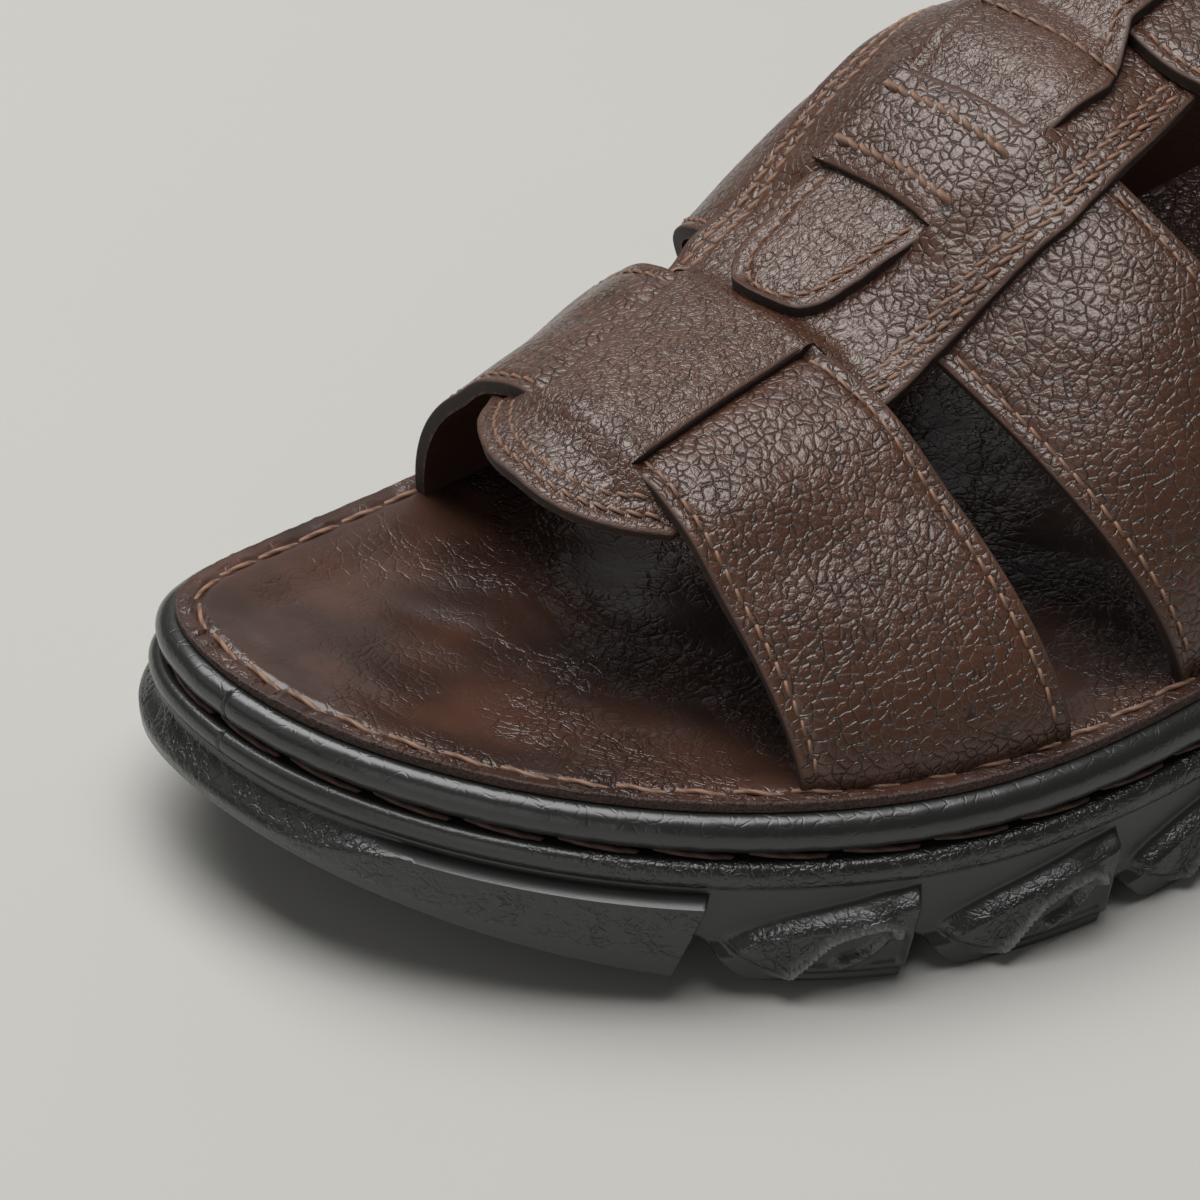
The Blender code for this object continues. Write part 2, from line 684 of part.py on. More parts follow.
def upper_cells(grid):
    """Lower and upper corner heights of every filled cell of the upper's wall."""
    cells = {}
    rows = len(grid.row_names) - 1
    columns = len(grid.columns) - 1
    for i in range(rows):
        zone = grid.row_names[i][0]
        for j in range(columns):
            kinds = (grid.columns[j], grid.columns[j + 1])
            inside = all(kind != "side" for kind, _ in kinds)
            strip_cell = all(kind == "strip" for kind, _ in kinds)
            corners = ((i, j), (i + 1, j), (i + 1, j + 1), (i, j + 1))
            heights = [cell_heights(grid, zone, inside, strip_cell, *corner) for corner in corners]
            if None not in heights:
                rounded = [(round(low, 4), round(top, 4)) for low, top in heights]
                cells[i, j] = dict(zip(corners, rounded))
    return cells


class WallMesh:
    """Closed wall from cells with a lower and an upper height at each corner."""

    def __init__(self, grid, cells, open_edges):
        self.grid = grid
        self.cells = cells
        self.open_edges = open_edges
        self.skin = Skin()
        self.numbers = {}
        self.levels = {}
        for cell in cells.values():
            for corner, heights in cell.items():
                self.levels.setdefault(corner, set()).update(heights)

    def number(self, corner, height):
        """Number of the point over a grid crossing at a height."""
        key = (*corner, height)
        if key not in self.numbers:
            back = self.grid.backs[corner]
            girth = self.grid.girths[corner]
            point = over_last(back, girth, height)
            self.numbers[key] = self.skin.add([place(*point)])[0]
        return self.numbers[key]

    def between(self, corner, low, high):
        """Numbers of all points over a crossing from a low to a high level."""
        levels = [h for h in sorted(self.levels[corner]) if low <= h <= high]
        return [self.number(corner, h) for h in levels]

    def wall(self, first, second, low, high):
        """Upright face over a grid edge between two heights at each end."""
        start = self.between(first, low[0], high[0])
        end = self.between(second, low[1], high[1])
        loop = list(dict.fromkeys(start + end[::-1]))
        if len(loop) > 2:
            self.skin.faces.append(tuple(loop))

    def build(self):
        """Lower and upper faces of every cell and the steps between neighbours."""
        for (i, j), cell in self.cells.items():
            corners = list(cell)
            self.skin.faces.append(tuple(self.number(c, cell[c][1]) for c in corners))
            self.skin.faces.append(tuple(self.number(c, cell[c][0]) for c in reversed(corners)))
            for step, edge in (((-1, 0), (0, 3)), ((1, 0), (1, 2)), ((0, -1), (0, 1)), ((0, 1), (3, 2))):
                other = self.cells.get((i + step[0], j + step[1]))
                first = corners[edge[0]]
                second = corners[edge[1]]
                if frozenset((first, second)) in self.open_edges:
                    continue
                mine = (cell[first], cell[second])
                if other is None:
                    self.wall(first, second, [h[0] for h in mine], [h[1] for h in mine])
                    continue
                theirs = (other[first], other[second])
                upper = [(t[1], m[1]) for m, t in zip(mine, theirs)]
                if sum(m - t for t, m in upper) > 1e-4:
                    self.wall(first, second, [u[0] for u in upper], [u[1] for u in upper])
                lower = [(m[0], t[0]) for m, t in zip(mine, theirs)]
                if sum(t - m for m, t in lower) > 1e-4:
                    self.wall(first, second, [v[0] for v in lower], [v[1] for v in lower])
        return self.skin


def heel_strap_ends(grid):
    """Grid corners on strap 3's rear edge, low to high, where the heel strap leaves each side."""
    last_row = len(grid.row_names) - 1
    ends = []
    for sign in (1.0, -1.0):
        found = [j for j, (kind, value) in enumerate(grid.columns)
                 if kind == "side" and HEEL_STRAP_HIGH <= value * sign <= HEEL_STRAP_LOW]
        found.sort(key=lambda j: -abs(grid.columns[j][1]))
        ends.append([(last_row, j) for j in found])
    return ends


def add_heel_strap(wall, ends):
    """Carry the heel strap from the outer end round the heel to the inner end."""
    rows = len(ends[0])
    steps = np.linspace(0.0, 1.0, 2 * HEEL_STRAP_COLUMNS + 1)
    turns = np.pi * steps
    surfaces = []
    for side in (0, 1):
        lines = []
        for k in range(rows):
            share = k / (rows - 1)
            rear = HEEL_STRAP_BACK - HEEL_STRAP_LEAN * share
            high = HEEL_STRAP_LOW_Z + (HEEL_STRAP_TOP_Z - HEEL_STRAP_LOW_Z) * share
            ends_inner = [over_last(wall.grid.backs[e[k]], wall.grid.girths[e[k]], 0.0) for e in ends]
            ends_outer = [over_last(wall.grid.backs[e[k]], wall.grid.girths[e[k]], WALL) for e in ends]
            heel = (HEEL_STRAP_MIDDLE, rear, high)
            lines.append(heel_line(turns, ends_inner, ends_outer, heel, side))
        surfaces.append(lines)
    numbers = [[wall.skin.add([place(*point) for point in line]) for line in lines] for lines in surfaces]
    inner, outer = numbers
    last = len(steps) - 1
    for i in range(last):
        for k in range(rows - 1):
            for lines in numbers:
                wall.skin.faces.append((lines[k][i], lines[k][i + 1], lines[k + 1][i + 1], lines[k + 1][i]))
        for k in (0, rows - 1):
            wall.skin.faces.append((inner[k][i], inner[k][i + 1], outer[k][i + 1], outer[k][i]))


def heel_line(turns, ends_inner, ends_outer, heel, side):
    """One line of the heel strap: half superellipses from each end to the back of the heel.

    Each half starts at its end on strap 3 and fills out to the heel's own half width.
    """
    cosine = np.cos(turns)
    sine = np.clip(np.sin(turns), 0.0, 1.0)
    power = 2.0 / HEEL_STRAP_ROUND
    end = np.where(cosine[:, None] >= 0.0, ends_inner[0], ends_inner[1])
    across = np.abs(cosine)**power
    along = sine**power
    side_half = np.where(cosine >= 0.0, HEEL_STRAP_HALF, -HEEL_STRAP_HALF)
    fill = smooth(sine / HEEL_STRAP_FILL)
    out = heel[0] + ((end[:, 0] - heel[0]) * (1.0 - fill) + side_half * fill) * across
    back = end[:, 1] + (heel[1] - end[:, 1]) * along
    high = end[:, 2] + (heel[2] - end[:, 2]) * smooth(sine)
    line = np.stack([out, back, high], axis=-1)
    if side == 0:
        return line
    along_line = np.gradient(line[:, :2], axis=0)
    normal = np.stack([along_line[:, 1], -along_line[:, 0], 0.0 * out], axis=-1)
    normal /= np.linalg.norm(normal, axis=-1, keepdims=True)
    first = ends_outer[0] - ends_inner[0]
    final = ends_outer[1] - ends_inner[1]
    near = smooth(1.0 - sine / HEEL_STRAP_TURN)[:, None]
    end_way = np.where(cosine[:, None] >= 0.0, first, final)
    return line + end_way * near + normal * WALL * (1.0 - near)


def make_upper(material, collection):
    """Upper: crossing straps, saddle, centre strip and heel strap as one hollow wall."""
    grid = StrapGrid()
    cells = upper_cells(grid)
    ends = heel_strap_ends(grid)
    open_edges = {frozenset(pair) for end in ends for pair in zip(end, end[1:])}
    wall = WallMesh(grid, cells, open_edges)
    wall.build()
    add_heel_strap(wall, ends)
    return add_object("upper", wall.skin, material, collection)


def slot_cutter(name, front, rear, outer, collection):
    """Block a little larger than a strap's leg, for the slot where it enters the insole."""
    sign = 1.0 if outer else -1.0
    first = cross_line(front, 2.0 * sign) - SEAT_GAP
    final = cross_line(rear, 2.0 * sign) + SEAT_GAP
    backs = np.linspace(first, final, SLOT_POINTS)
    skin = Skin()
    lines = []
    for height, girth in ((-SEAT_GAP, LEG_PLACE), (WALL + SEAT_GAP, LEG_PLACE),
                          (WALL + SEAT_GAP, 2.0), (-SEAT_GAP, 2.0)):
        points = over_last(backs, np.full(SLOT_POINTS, girth * sign), np.full(SLOT_POINTS, height))
        points[:, 2] += -SEAT_GAP if girth > 2.0 else LEG_DEPTH
        lines.append(skin.add(place(*points.T)))
    for line, after in zip(lines, lines[1:] + lines[:1]):
        skin.faces.extend((line[k], line[k + 1], after[k + 1], after[k]) for k in range(SLOT_POINTS - 1))
    skin.faces.extend(tuple(line[k] for line in lines) for k in (0, SLOT_POINTS - 1))
    cutter = add_object(name, skin, None, collection)
    cutter.hide_render = True
    cutter.display_type = "WIRE"
    return cutter


def cut_slots(insole, collection):
    """Cut a slot in the insole for each leg of each strap."""
    straps = (("strap 1 front", "strap 1 rear"), ("strap 2 front", "strap 2 rear"),
              ("strap 3 front", "strap 3 rear"))
    for number, (front, rear) in enumerate(straps, start=1):
        for side, outer in (("outer", True), ("inner", False)):
            cutter = slot_cutter(f"slot_{number}_{side}", front, rear, outer, collection)
            cut = insole.modifiers.new(cutter.name, "BOOLEAN")
            cut.operation = "DIFFERENCE"
            cut.solver = "EXACT"
            cut.object = cutter


def new_collection(name):
    """Collection linked to the scene."""
    collection = bpy.data.collections.new(name)
    bpy.context.scene.collection.children.link(collection)
    return collection


def main():
    for thing in list(bpy.data.objects):
        bpy.data.objects.remove(thing, do_unlink=True)
    parts = new_collection("fisherman_sandal")
    cutters = new_collection("cutters")
    make_outsole(make_material("sole_black", SOLE_BLACK), parts)
    make_welt(make_material("welt_black", WELT_BLACK), parts)
    insole = make_insole(make_material("insole_brown", INSOLE_BROWN), parts)
    make_upper(make_material("leather_brown", LEATHER_BROWN), parts)
    cut_slots(insole, cutters)


main()
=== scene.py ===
"""Looks of a left-foot fisherman sandal: leather straps, stitching, insole, welt and lugged outsole.

Lengths in the tables are millimetres measured from the toe tip: `back` towards the heel, `out`
towards the outer side of the foot and `height` over the floor. `place` turns them into metres in
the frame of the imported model. A `girth` place runs round the foot: 0 in the saddle's middle, -1 and
1 at its inner and outer edge, -2 and 2 where the straps enter the insole.
"""

import bmesh
import bpy
import numpy as np
from mathutils import Matrix, Vector


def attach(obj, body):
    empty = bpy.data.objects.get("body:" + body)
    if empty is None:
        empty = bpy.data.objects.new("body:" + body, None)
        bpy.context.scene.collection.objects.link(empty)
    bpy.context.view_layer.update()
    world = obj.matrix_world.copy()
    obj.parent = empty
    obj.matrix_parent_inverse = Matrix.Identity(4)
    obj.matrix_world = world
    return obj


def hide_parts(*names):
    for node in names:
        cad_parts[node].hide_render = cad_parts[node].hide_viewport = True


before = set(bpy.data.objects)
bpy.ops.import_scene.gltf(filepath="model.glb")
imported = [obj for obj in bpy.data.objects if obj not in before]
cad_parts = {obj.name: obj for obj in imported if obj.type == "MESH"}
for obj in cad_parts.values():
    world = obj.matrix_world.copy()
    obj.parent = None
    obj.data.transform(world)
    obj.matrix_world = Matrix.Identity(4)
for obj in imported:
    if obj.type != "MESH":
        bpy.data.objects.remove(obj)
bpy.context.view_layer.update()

bl_info = {
    "name": "Fisherman sandal",
    "version": (1, 0, 0),
    "blender": (4, 5, 0),
    "location": "View3D > Sidebar > Sandal",
    "description": "Builds the leather, stitching and rubber of a fisherman sandal round its solids",
    "category": "Object",
}

MM = 0.001
BODY = "root"

# Driving sizes shared with the solids
INSOLE_LENGTH = 270.0
BALL_WIDTH = 103.5
SEAT_GAP = 0.3
TIP_OUT = 22.79
TIP_BACK = 135.0

PLAN = (
    # name, share of the length back, share of the ball width out
    ("toe tip", 0.0, 0.0),
    ("third toe", 0.035, 0.261),
    ("fourth toe", 0.096, 0.444),
    ("little toe", 0.185, 0.606),
    ("outer ball front", 0.281, 0.700),
    ("outer ball", 0.378, 0.720),
    ("outer waist", 0.611, 0.657),
    ("outer heel", 0.859, 0.575),
    ("outer heel corner", 0.959, 0.464),
    ("heel back", 1.0, 0.261),
    ("inner heel corner", 0.959, 0.048),
    ("inner heel", 0.859, -0.077),
    ("inner waist", 0.611, -0.169),
    ("inner arch", 0.463, -0.246),
    ("inner ball", 0.315, -0.280),
    ("inner ball front", 0.185, -0.260),
    ("big toe", 0.074, -0.231),
    ("big toe corner", 0.0185, -0.177),
)

# Seam where the insole's edge lies on the welt
SEAM_HEIGHT = 26.0
SEAM_TOE_RISE = 8.0
SEAM_TOE_REACH = 75.0
SEAM_HEEL_RISE = 10.0
SEAM_HEEL_START = 130.0
SEAM_HEEL_RUN = 80.0

# Underside of the outsole
TOE_SPRING = 15.5
SPRING_REACH = 70.0
SPRING_POWER = 2.2
ARCH_RISE = 4.5
ARCH_START = 160.0
ARCH_RUN = 45.0
HEEL_LIFT = 1.5
HEEL_LIFT_START = 256.0
HEEL_LIFT_RUN = 19.0

# Welt bead and the thread in the groove under it
BEAD_RADIUS = 3.0
BEAD_CENTRE_OUT = -0.3
BEAD_SWEEP = 96.0
BEAD_UNEVEN = 0.05
WELT_INNER = -2.3
GROOVE_THREAD_OUT = 1.7
GROOVE_THREAD_DROP = 5.6
GROOVE_THREAD_RADIUS = 0.46
GROOVE_STITCH = 12.3
JOINT_RUN = 2.6
JOINT_WIDTH = 0.22
BEAD_JOINT_DEPTH = 0.45
RIB_JOINT_DEPTH = 0.35

# Outsole side: offsets outward from the seam and drops below it
PLATFORM_DROP = 6.3
PLATFORM_INNER = -4.0
RIB_CENTRE = (2.15, 8.45)
RIB_RADII = (1.75, 2.1)
SIDE_WALL_OUT = 2.7
LUG_TOP_DROP = 11.3
LUG_OUT = 5.2
LUG_BLOCK_OUT = 4.2
LUG_BEVEL = 1.0
LEAF_BEVEL = 2.3
TIP_BEVEL = 8.0
LUG_HEIGHT = 14.5
LUG_FIRST = 0.2085
LUG_PITCH = 0.0867
LUG_GAP = 0.0035
LUG_SHARE = LUG_PITCH - LUG_GAP
LUG_COUNT = 8
LUG_LEAN = 2.6
TOE_LEAN = 4.6
TOE_END = 0.2035
LEAN_PIVOT = 0.35
NOTCH_RISE = 5.6
NOTCH_RUN = 6.5
GROOVE_REACH = 10.0
LUG_FOOT = 0.9
LUG_BULGE = 0.35
TIP_SHARE = 0.035
TIP_RUN = 0.06

# Relief of a side lug: places are shares of its length and height, widths and rises millimetres
LEAF_TIP = (0.10, 0.42)
LEAF_ROOT = (0.35, 0.03)
CORE_BEVEL = 1.6
BLOCK_FRONT_RUN = 2.4
BLOCK_BEVEL = 1.6
BLOCK_TOP = (0.40, 0.96)
BLOCK_TOP_START = 0.08
BLOCK_TOP_RUN = 0.8
HOLLOW_SLOPE = 2.4
HOLLOW_FOOT = 0.8
HOLLOW_FOOT_RUN = 3.4
HOLLOW_START = 0.4
HOLLOW_START_RUN = 0.12
HOLLOW_END = 0.98
HOLLOW_END_RUN = 0.05
RIDGE_RISE = 1.3
RIDGE_WIDTH = 0.68
HOOK_RISE = 1.35
HOOK_WIDTH = 0.8
HOLLOW_DEPTH = 1.2
LUG_RIDGE = (
    # share of the lug's length, share of its height
    (0.24, 0.09),
    (0.38, 0.13),
    (0.46, 0.26),
    (0.53, 0.46),
    (0.60, 0.60),
    (0.72, 0.68),
    (0.84, 0.70),
    (0.90, 0.60),
)
LUG_HOOK = (
    # share of the lug's length, share of its height
    (0.86, 0.58),
    (0.82, 0.44),
    (0.75, 0.32),
    (0.66, 0.25),
)

# Insole
INSOLE_LIP = 1.8
INSOLE_DISH = 2.6
DISH_TOE_RUN = 30.0
DISH_HEEL_RUN = 25.0
HEEL_CUP = 2.0
HEEL_CUP_START = 190.0
HEEL_CUP_RUN = 50.0
INSOLE_ROUND = 0.5
INSOLE_UNDER = 5.0
INSOLE_UNDER_RUN = 6.0
INSOLE_UNEVEN = 0.22
BORDER_FALL = 1.1
BORDER_RUN = 12.0
BORDER_EDGE_FALL = 0.9
BORDER_EDGE_RUN = 4.0
BORDER_GROOVE = 0.55
BORDER_GROOVE_WIDTH = 0.8
BORDER_SWELL = 0.4
BORDER_SWELL_IN = 7.0
BORDER_SWELL_WIDTH = 3.0
PLEAT_DEPTH = 0.2
PLEAT_IN = 2.0
PLEAT_WIDTH = 1.4
SMOOTH_TOE = (-12.0, 22.0)
SMOOTH_TOE_RADIUS = 14.0
SMOOTH_TOE_RUN = 26.0
BORDER_STITCH_IN = 3.0
BORDER_STITCH = 7.8
BORDER_THREAD_RADIUS = 0.38
INSOLE_CREASES = (
    # out, back, half length, turn from across the foot in degrees, half width, depth
    (20.0, 40.0, 20.0, 12.0, 2.6, -0.55),
    (8.0, 47.0, 16.0, -8.0, 2.2, 0.45),
    (34.0, 52.0, 15.0, 22.0, 2.4, -0.45),
    (-6.0, 30.0, 12.0, 35.0, 2.8, -0.40),
    (30.0, 30.0, 11.0, -30.0, 3.0, 0.40),
    (52.0, 70.0, 14.0, 55.0, 2.6, -0.40),
    (45.0, 62.0, 10.0, 40.0, 2.0, 0.35),
    (12.0, 18.0, 12.0, 5.0, 3.2, 0.30),
)

# Last under the straps
LAST = (
    # back, ridge out, ridge height, inner fullness, outer fullness
    (20.0, 13.3, 52.0, 2.2, 1.50),
    (36.0, 14.6, 57.0, 1.95, 1.50),
    (50.0, 14.4, 59.2, 1.95, 1.50),
    (66.0, 13.6, 60.6, 2.3, 1.55),
    (83.0, 12.5, 62.0, 2.9, 1.65),
    (92.0, 12.0, 64.0, 3.1, 1.75),
    (101.0, 11.5, 69.6, 3.3, 1.88),
    (113.0, 10.0, 77.3, 3.4, 2.00),
    (122.0, 9.5, 80.3, 3.5, 2.00),
    (132.0, 9.0, 82.0, 3.5, 2.05),
    (150.0, 9.0, 84.0, 3.2, 2.10),
    (175.0, 13.0, 87.0, 2.8, 2.20),
    (200.0, 20.0, 91.0, 2.4, 2.20),
)
STRAP_INSET = 5.0
LEG_DEPTH = 4.5
LEG_PLACE = 2.1

SADDLE = (
    # back, middle out, half width, strip middle out, strip half width
    (34.0, 14.0, 18.0, 14.9, 8.2),
    (50.0, 13.9, 18.5, 14.8, 8.3),
    (82.0, 12.8, 20.2, 10.0, 11.3),
    (92.0, 12.2, 20.4, 9.8, 11.1),
    (101.0, 11.6, 21.5, 10.2, 11.0),
    (114.0, 11.7, 22.2, 11.1, 11.9),
    (128.0, 9.2, 22.2, 10.2, 12.6),
    (140.0, 7.4, 21.0, 8.8, 13.4),
    (172.0, 13.0, 20.0, 13.0, 13.0),
    (205.0, 20.0, 15.0, 20.0, 10.0),
)

# Lines across the upper: how far back each lies at five places round the foot
CROSS_LINES = {
    # name: inner base, inner edge, middle, outer edge, outer base
    "tab front": (48.0, 48.0, 36.4, 48.0, 48.0),
    "strap 1 front": (48.3, 47.4, 47.9, 48.8, 49.6),
    "strap 1 rear": (80.0, 77.5, 79.0, 82.2, 84.6),
    "strap 2 front": (99.0, 87.5, 90.0, 92.8, 103.0),
    "slit 2": (115.0, 102.7, 102.8, 104.4, 115.0),
    "slit 1": (131.0, 116.2, 117.2, 119.7, 130.0),
    "strap 2 rear": (141.0, 122.8, 123.4, 123.4, 140.0),
    "saddle rear": (140.0, 140.0, 147.0, 140.0, 140.0),
    "strap 3 front": (166.0, 141.0, 140.2, 140.6, 166.0),
    "strap 3 rear": (200.0, 174.0, 168.0, 172.0, 198.0),
}
ROUND_LINES = {"tab front": 2.4, "saddle rear": 4.0}

# Centre strip: front tab in front of slit 2, rear run behind slit 1
STRIP_TAB = (
    # back, middle out, half width
    (78.0, 9.4, 7.2),
    (90.0, 9.7, 8.6),
    (103.0, 10.2, 10.7),
    (110.0, 10.2, 10.8),
)
STRIP_REAR = (
    # back, middle out, half width
    (108.0, 11.1, 11.6),
    (118.0, 10.9, 11.8),
    (130.0, 9.9, 12.6),
    (134.0, 8.6, 11.7),
    (140.0, 6.1, 9.9),
    (150.0, 5.3, 9.3),
    (166.0, 6.0, 8.5),
)
STRIP_TIP = 79.3
STRIP_TAB_END = 107.0
STRIP_REAR_START = 111.0
STRIP_CROSS_BACK = 130.0
STRIP_END = 163.0
STRIP_ROUND = 9.0

# Heights over the last and the runs in which they change
BAND_LIFT = 2.35
BAND_RUN = 6.0
BAND_EARLY = 0.7
BAND_FADE = 8.0
BAND_TUCK = 3.0
TUCK_RUN = 4.0
TUCK_START = 0.25
SADDLE_LEVEL = 2.0
SADDLE_LIFT = 1.7
SADDLE_RUN = 12.0
SADDLE_SINK = 0.8
SADDLE_SINK_START = 126.0
BAR_LIFT = 1.7
BAR_RUN = 4.0
BAR_END = 2.0
BAR_FADE = 8.0
STRIP_DIP = 1.7
STRIP_DIP_RUN = 7.0
STRAP_1_CLEAR = 0.05
STRAP_1_DOWN = 0.27
STRAP_3_LIFT = 2.8
STRAP_3_SINK = 0.5
STRAP_3_SINK_START = 150.0
STRAP_3_SINK_RUN = 15.0
STRAP_3_DOWN = 0.25
WING_SINK = 0.8
WING_REACH = 7.0
WING_RUN = 5.0
WING_ACROSS = 0.3

# Leather's edges, stitches and grain
ALL_SIDES = ("front", "rear", "left", "right")
EDGE_ROUND = 0.16
EDGE_REACH = 10.0
MARGIN_FALL = 0.16
MARGIN_RUN = 4.5
HIDE_UNEVEN = 0.18
STITCH_GROOVE = 0.34
STITCH_GROOVE_WIDTH = 0.6
STITCH_SINK = 0.42
THREAD_DIVE = 1.3
THREAD_ARCH = 0.36
THREAD_TWIST = 1.7
CLOSE_STITCH = 0.86
STRAP_END = 2.06
STRAP_STITCH_END = 1.93
BAND_MIDDLE = 66.0
SADDLE_THICK = 2.2
PEBBLE_START = 84.0
PEBBLE_RUN = 8.0
STRIP_THICK = 2.0
STRIP_STITCH_IN = 2.3
STRIP_CROSS_STITCH = 14.2
STRIP_STITCH_START = 17.0
STRIP_BOW = 2.3
STRIP_GRAIN = 0.25

# Heel strap
HEEL_PLACES = (1.22, 1.6)
HEEL_STRAP_MIDDLE = 27.0
HEEL_STRAP_BACK = 261.0
HEEL_STRAP_LOW_Z = 66.0
HEEL_STRAP_TOP_Z = 94.0
HEEL_STRAP_LEAN = 3.0
HEEL_STRAP_HALF = 29.0
HEEL_STRAP_FILL = 0.7
HEEL_STRAP_ROUND = 3.0
HEEL_TUCK = 2.6
HEEL_TUCK_RUN = 0.35

# Camera fitted to the photograph: a long lens from the toe's outer side
CAMERA_TARGET = (-9.64, -83.46, 30.0)
CAMERA_AZIMUTH = 52.0
CAMERA_ELEVATION = 38.0
CAMERA_DISTANCE = 750.0
CAMERA_LENS = 168.75

# Soft lights, in metres, all turned to one spot near the toe
LIGHT_AIM = (0.0, -0.05, 0.03)
LIGHTS = (
    # name, place, size, name of its power among the stage's properties
    ("key_light", (-0.27, -0.08, 1.2), (0.78, 1.5), "key"),
    ("front_light", (0.6, -1.05, 0.32), (0.8, 0.8), "front"),
    ("back_light", (-0.85, 0.75, 0.6), (1.1, 1.1), "back"),
    ("fill_light", (-0.45, -1.1, 0.95), (0.9, 0.9), "fill"),
)


def smooth(share):
    """Ease from 0 to 1 with level ends: 3 t squared minus 2 t cubed."""
    share = np.clip(share, 0.0, 1.0)
    return share * share * (3.0 - 2.0 * share)


def bell(distance, width):
    """Gaussian bell of height 1: exp of minus the squared share of the width."""
    return np.exp(-(distance / width)**2)


def unit(vectors):
    """Vectors divided by their own lengths."""
    return vectors / np.linalg.norm(vectors, axis=-1, keepdims=True)


def run_length(points):
    """Length along a run of points up to each of them: the sum of the steps before it."""
    return np.concatenate([[0.0], np.cumsum(np.linalg.norm(np.diff(points, axis=0), axis=1))])


def natural_curve(knots, values, at):
    """Read a natural cubic curve through (knots, values) at the given places."""
    knots = np.asarray(knots, float)
    values = np.asarray(values, float)
    at = np.asarray(at, float)
    count = len(knots)
    step = np.diff(knots)
    matrix = np.eye(count)
    right = np.zeros(count)
    for i in range(1, count - 1):
        matrix[i, i - 1:i + 2] = step[i - 1], 2.0 * (step[i - 1] + step[i]), step[i]
        right[i] = 6.0 * ((values[i + 1] - values[i]) / step[i] - (values[i] - values[i - 1]) / step[i - 1])
    bend = np.linalg.solve(matrix, right)
    i = np.clip(np.searchsorted(knots, at) - 1, 0, count - 2)
    low = (knots[i + 1] - at) / step[i]
    high = (at - knots[i]) / step[i]
    curve = (low**3 - low) * bend[i] + (high**3 - high) * bend[i + 1]
    return low * values[i] + high * values[i + 1] + curve * step[i]**2 / 6.0


def closed_curve(points, at):
    """Read a closed cubic curve through the points; `at` runs from 0 to 1 by chord length."""
    count = len(points)
    step = np.linalg.norm(np.roll(points, -1, axis=0) - points, axis=1)
    knots = np.concatenate([[0.0], np.cumsum(step)])
    matrix = np.zeros((count, count))
    right = np.zeros((count, 2))
    for i in range(count):
        back = (i - 1) % count
        ahead = (i + 1) % count
        matrix[i, back] += step[back]
        matrix[i, i] += 2.0 * (step[back] + step[i])
        matrix[i, ahead] += step[i]
        right[i] = 6.0 * ((points[ahead] - points[i]) / step[i] - (points[i] - points[back]) / step[back])
    bend = np.linalg.solve(matrix, right)
    spot = (np.asarray(at, float) % 1.0) * knots[-1]
    i = np.clip(np.searchsorted(knots, spot, side="right") - 1, 0, count - 1)
    ahead = (i + 1) % count
    low = ((knots[i + 1] - spot) / step[i])[..., None]
    high = ((spot - knots[i]) / step[i])[..., None]
    curve = (low**3 - low) * bend[i] + (high**3 - high) * bend[ahead]
    return low * points[i] + high * points[ahead] + curve * step[i][..., None]**2 / 6.0


class Outline:
    """The insole's edge as a closed curve, each side measured from toe tip to heel back."""

    def __init__(self, samples=3000):
        self.points = np.array([(out * BALL_WIDTH, back * INSOLE_LENGTH) for _, back, out in PLAN])
        turn = np.arange(samples + 1) / samples
        self.curve = closed_curve(self.points, turn)
        run = run_length(self.curve)
        heel = int(np.argmax(self.curve[:, 1]))
        self.run = run
        self.outer = (run[:heel + 1] / run[heel], turn[:heel + 1])
        inner_run = (run[-1] - run[heel:])[::-1]
        self.inner = (inner_run / inner_run[-1], turn[heel:][::-1])
        self.lengths = (run[heel], inner_run[-1])

    def turn(self, share, outer):
        """Place on the closed curve at a share of one side's length."""
        shares, turns = self.outer if outer else self.inner
        return np.interp(share, shares, turns)

    def offset(self, turn, out):
        """Points (out, back) at a distance outward from the edge, square to it."""
        turn = np.asarray(turn, float)
        nudge = 1e-4
        along = unit(closed_curve(self.points, turn + nudge) - closed_curve(self.points, turn - nudge))
        normal = np.stack([along[..., 1], -along[..., 0]], axis=-1)
        return closed_curve(self.points, turn) + normal * np.asarray(out, float)[..., None]

    def ring(self, shares, out):
        """Outer side from toe to heel, then the inner side back to the toe, as one loop."""
        outer_turn = self.turn(shares, True)
        inner_turn = self.turn(shares[1:-1][::-1], False)
        turn = np.concatenate([outer_turn, inner_turn])
        return self.offset(turn, np.broadcast_to(np.asarray(out, float), turn.shape))


EDGE = Outline()


def both_sides(values):
    """Repeat values given from toe to heel along the inner side back to the toe."""
    return np.concatenate([values, values[1:-1][::-1]])


def seam_height(back):
    """Height of the seam under the insole's edge: raised at the toe and at the heel."""
    toe = SEAM_TOE_RISE * np.clip(1.0 - back / SEAM_TOE_REACH, 0.0, None)**2
    heel = SEAM_HEEL_RISE * smooth((back - SEAM_HEEL_START) / SEAM_HEEL_RUN)
    return SEAM_HEIGHT + toe + heel


def ground_height(back):
    """Height of the outsole's underside: toe spring, arch and turned-up heel."""
    toe = TOE_SPRING * np.clip(1.0 - back / SPRING_REACH, 0.0, None)**SPRING_POWER
    arch = ARCH_RISE * np.sin(np.pi * np.clip((back - ARCH_START) / ARCH_RUN, 0.0, 1.0))**2
    heel = HEEL_LIFT * np.clip((back - HEEL_LIFT_START) / HEEL_LIFT_RUN, 0.0, None)**2
    return toe + arch + heel


def place(out, back, height):
    """Turn millimetres from the toe tip into metres in the sandal's own frame."""
    out, back, height = np.broadcast_arrays(out, back, height)
    return np.stack([out - TIP_OUT, back - TIP_BACK, height], axis=-1) * MM


def placed(points):
    """Turn points (out, back, height) in millimetres into metres in the sandal's own frame."""
    return place(points[..., 0], points[..., 1], points[..., 2])


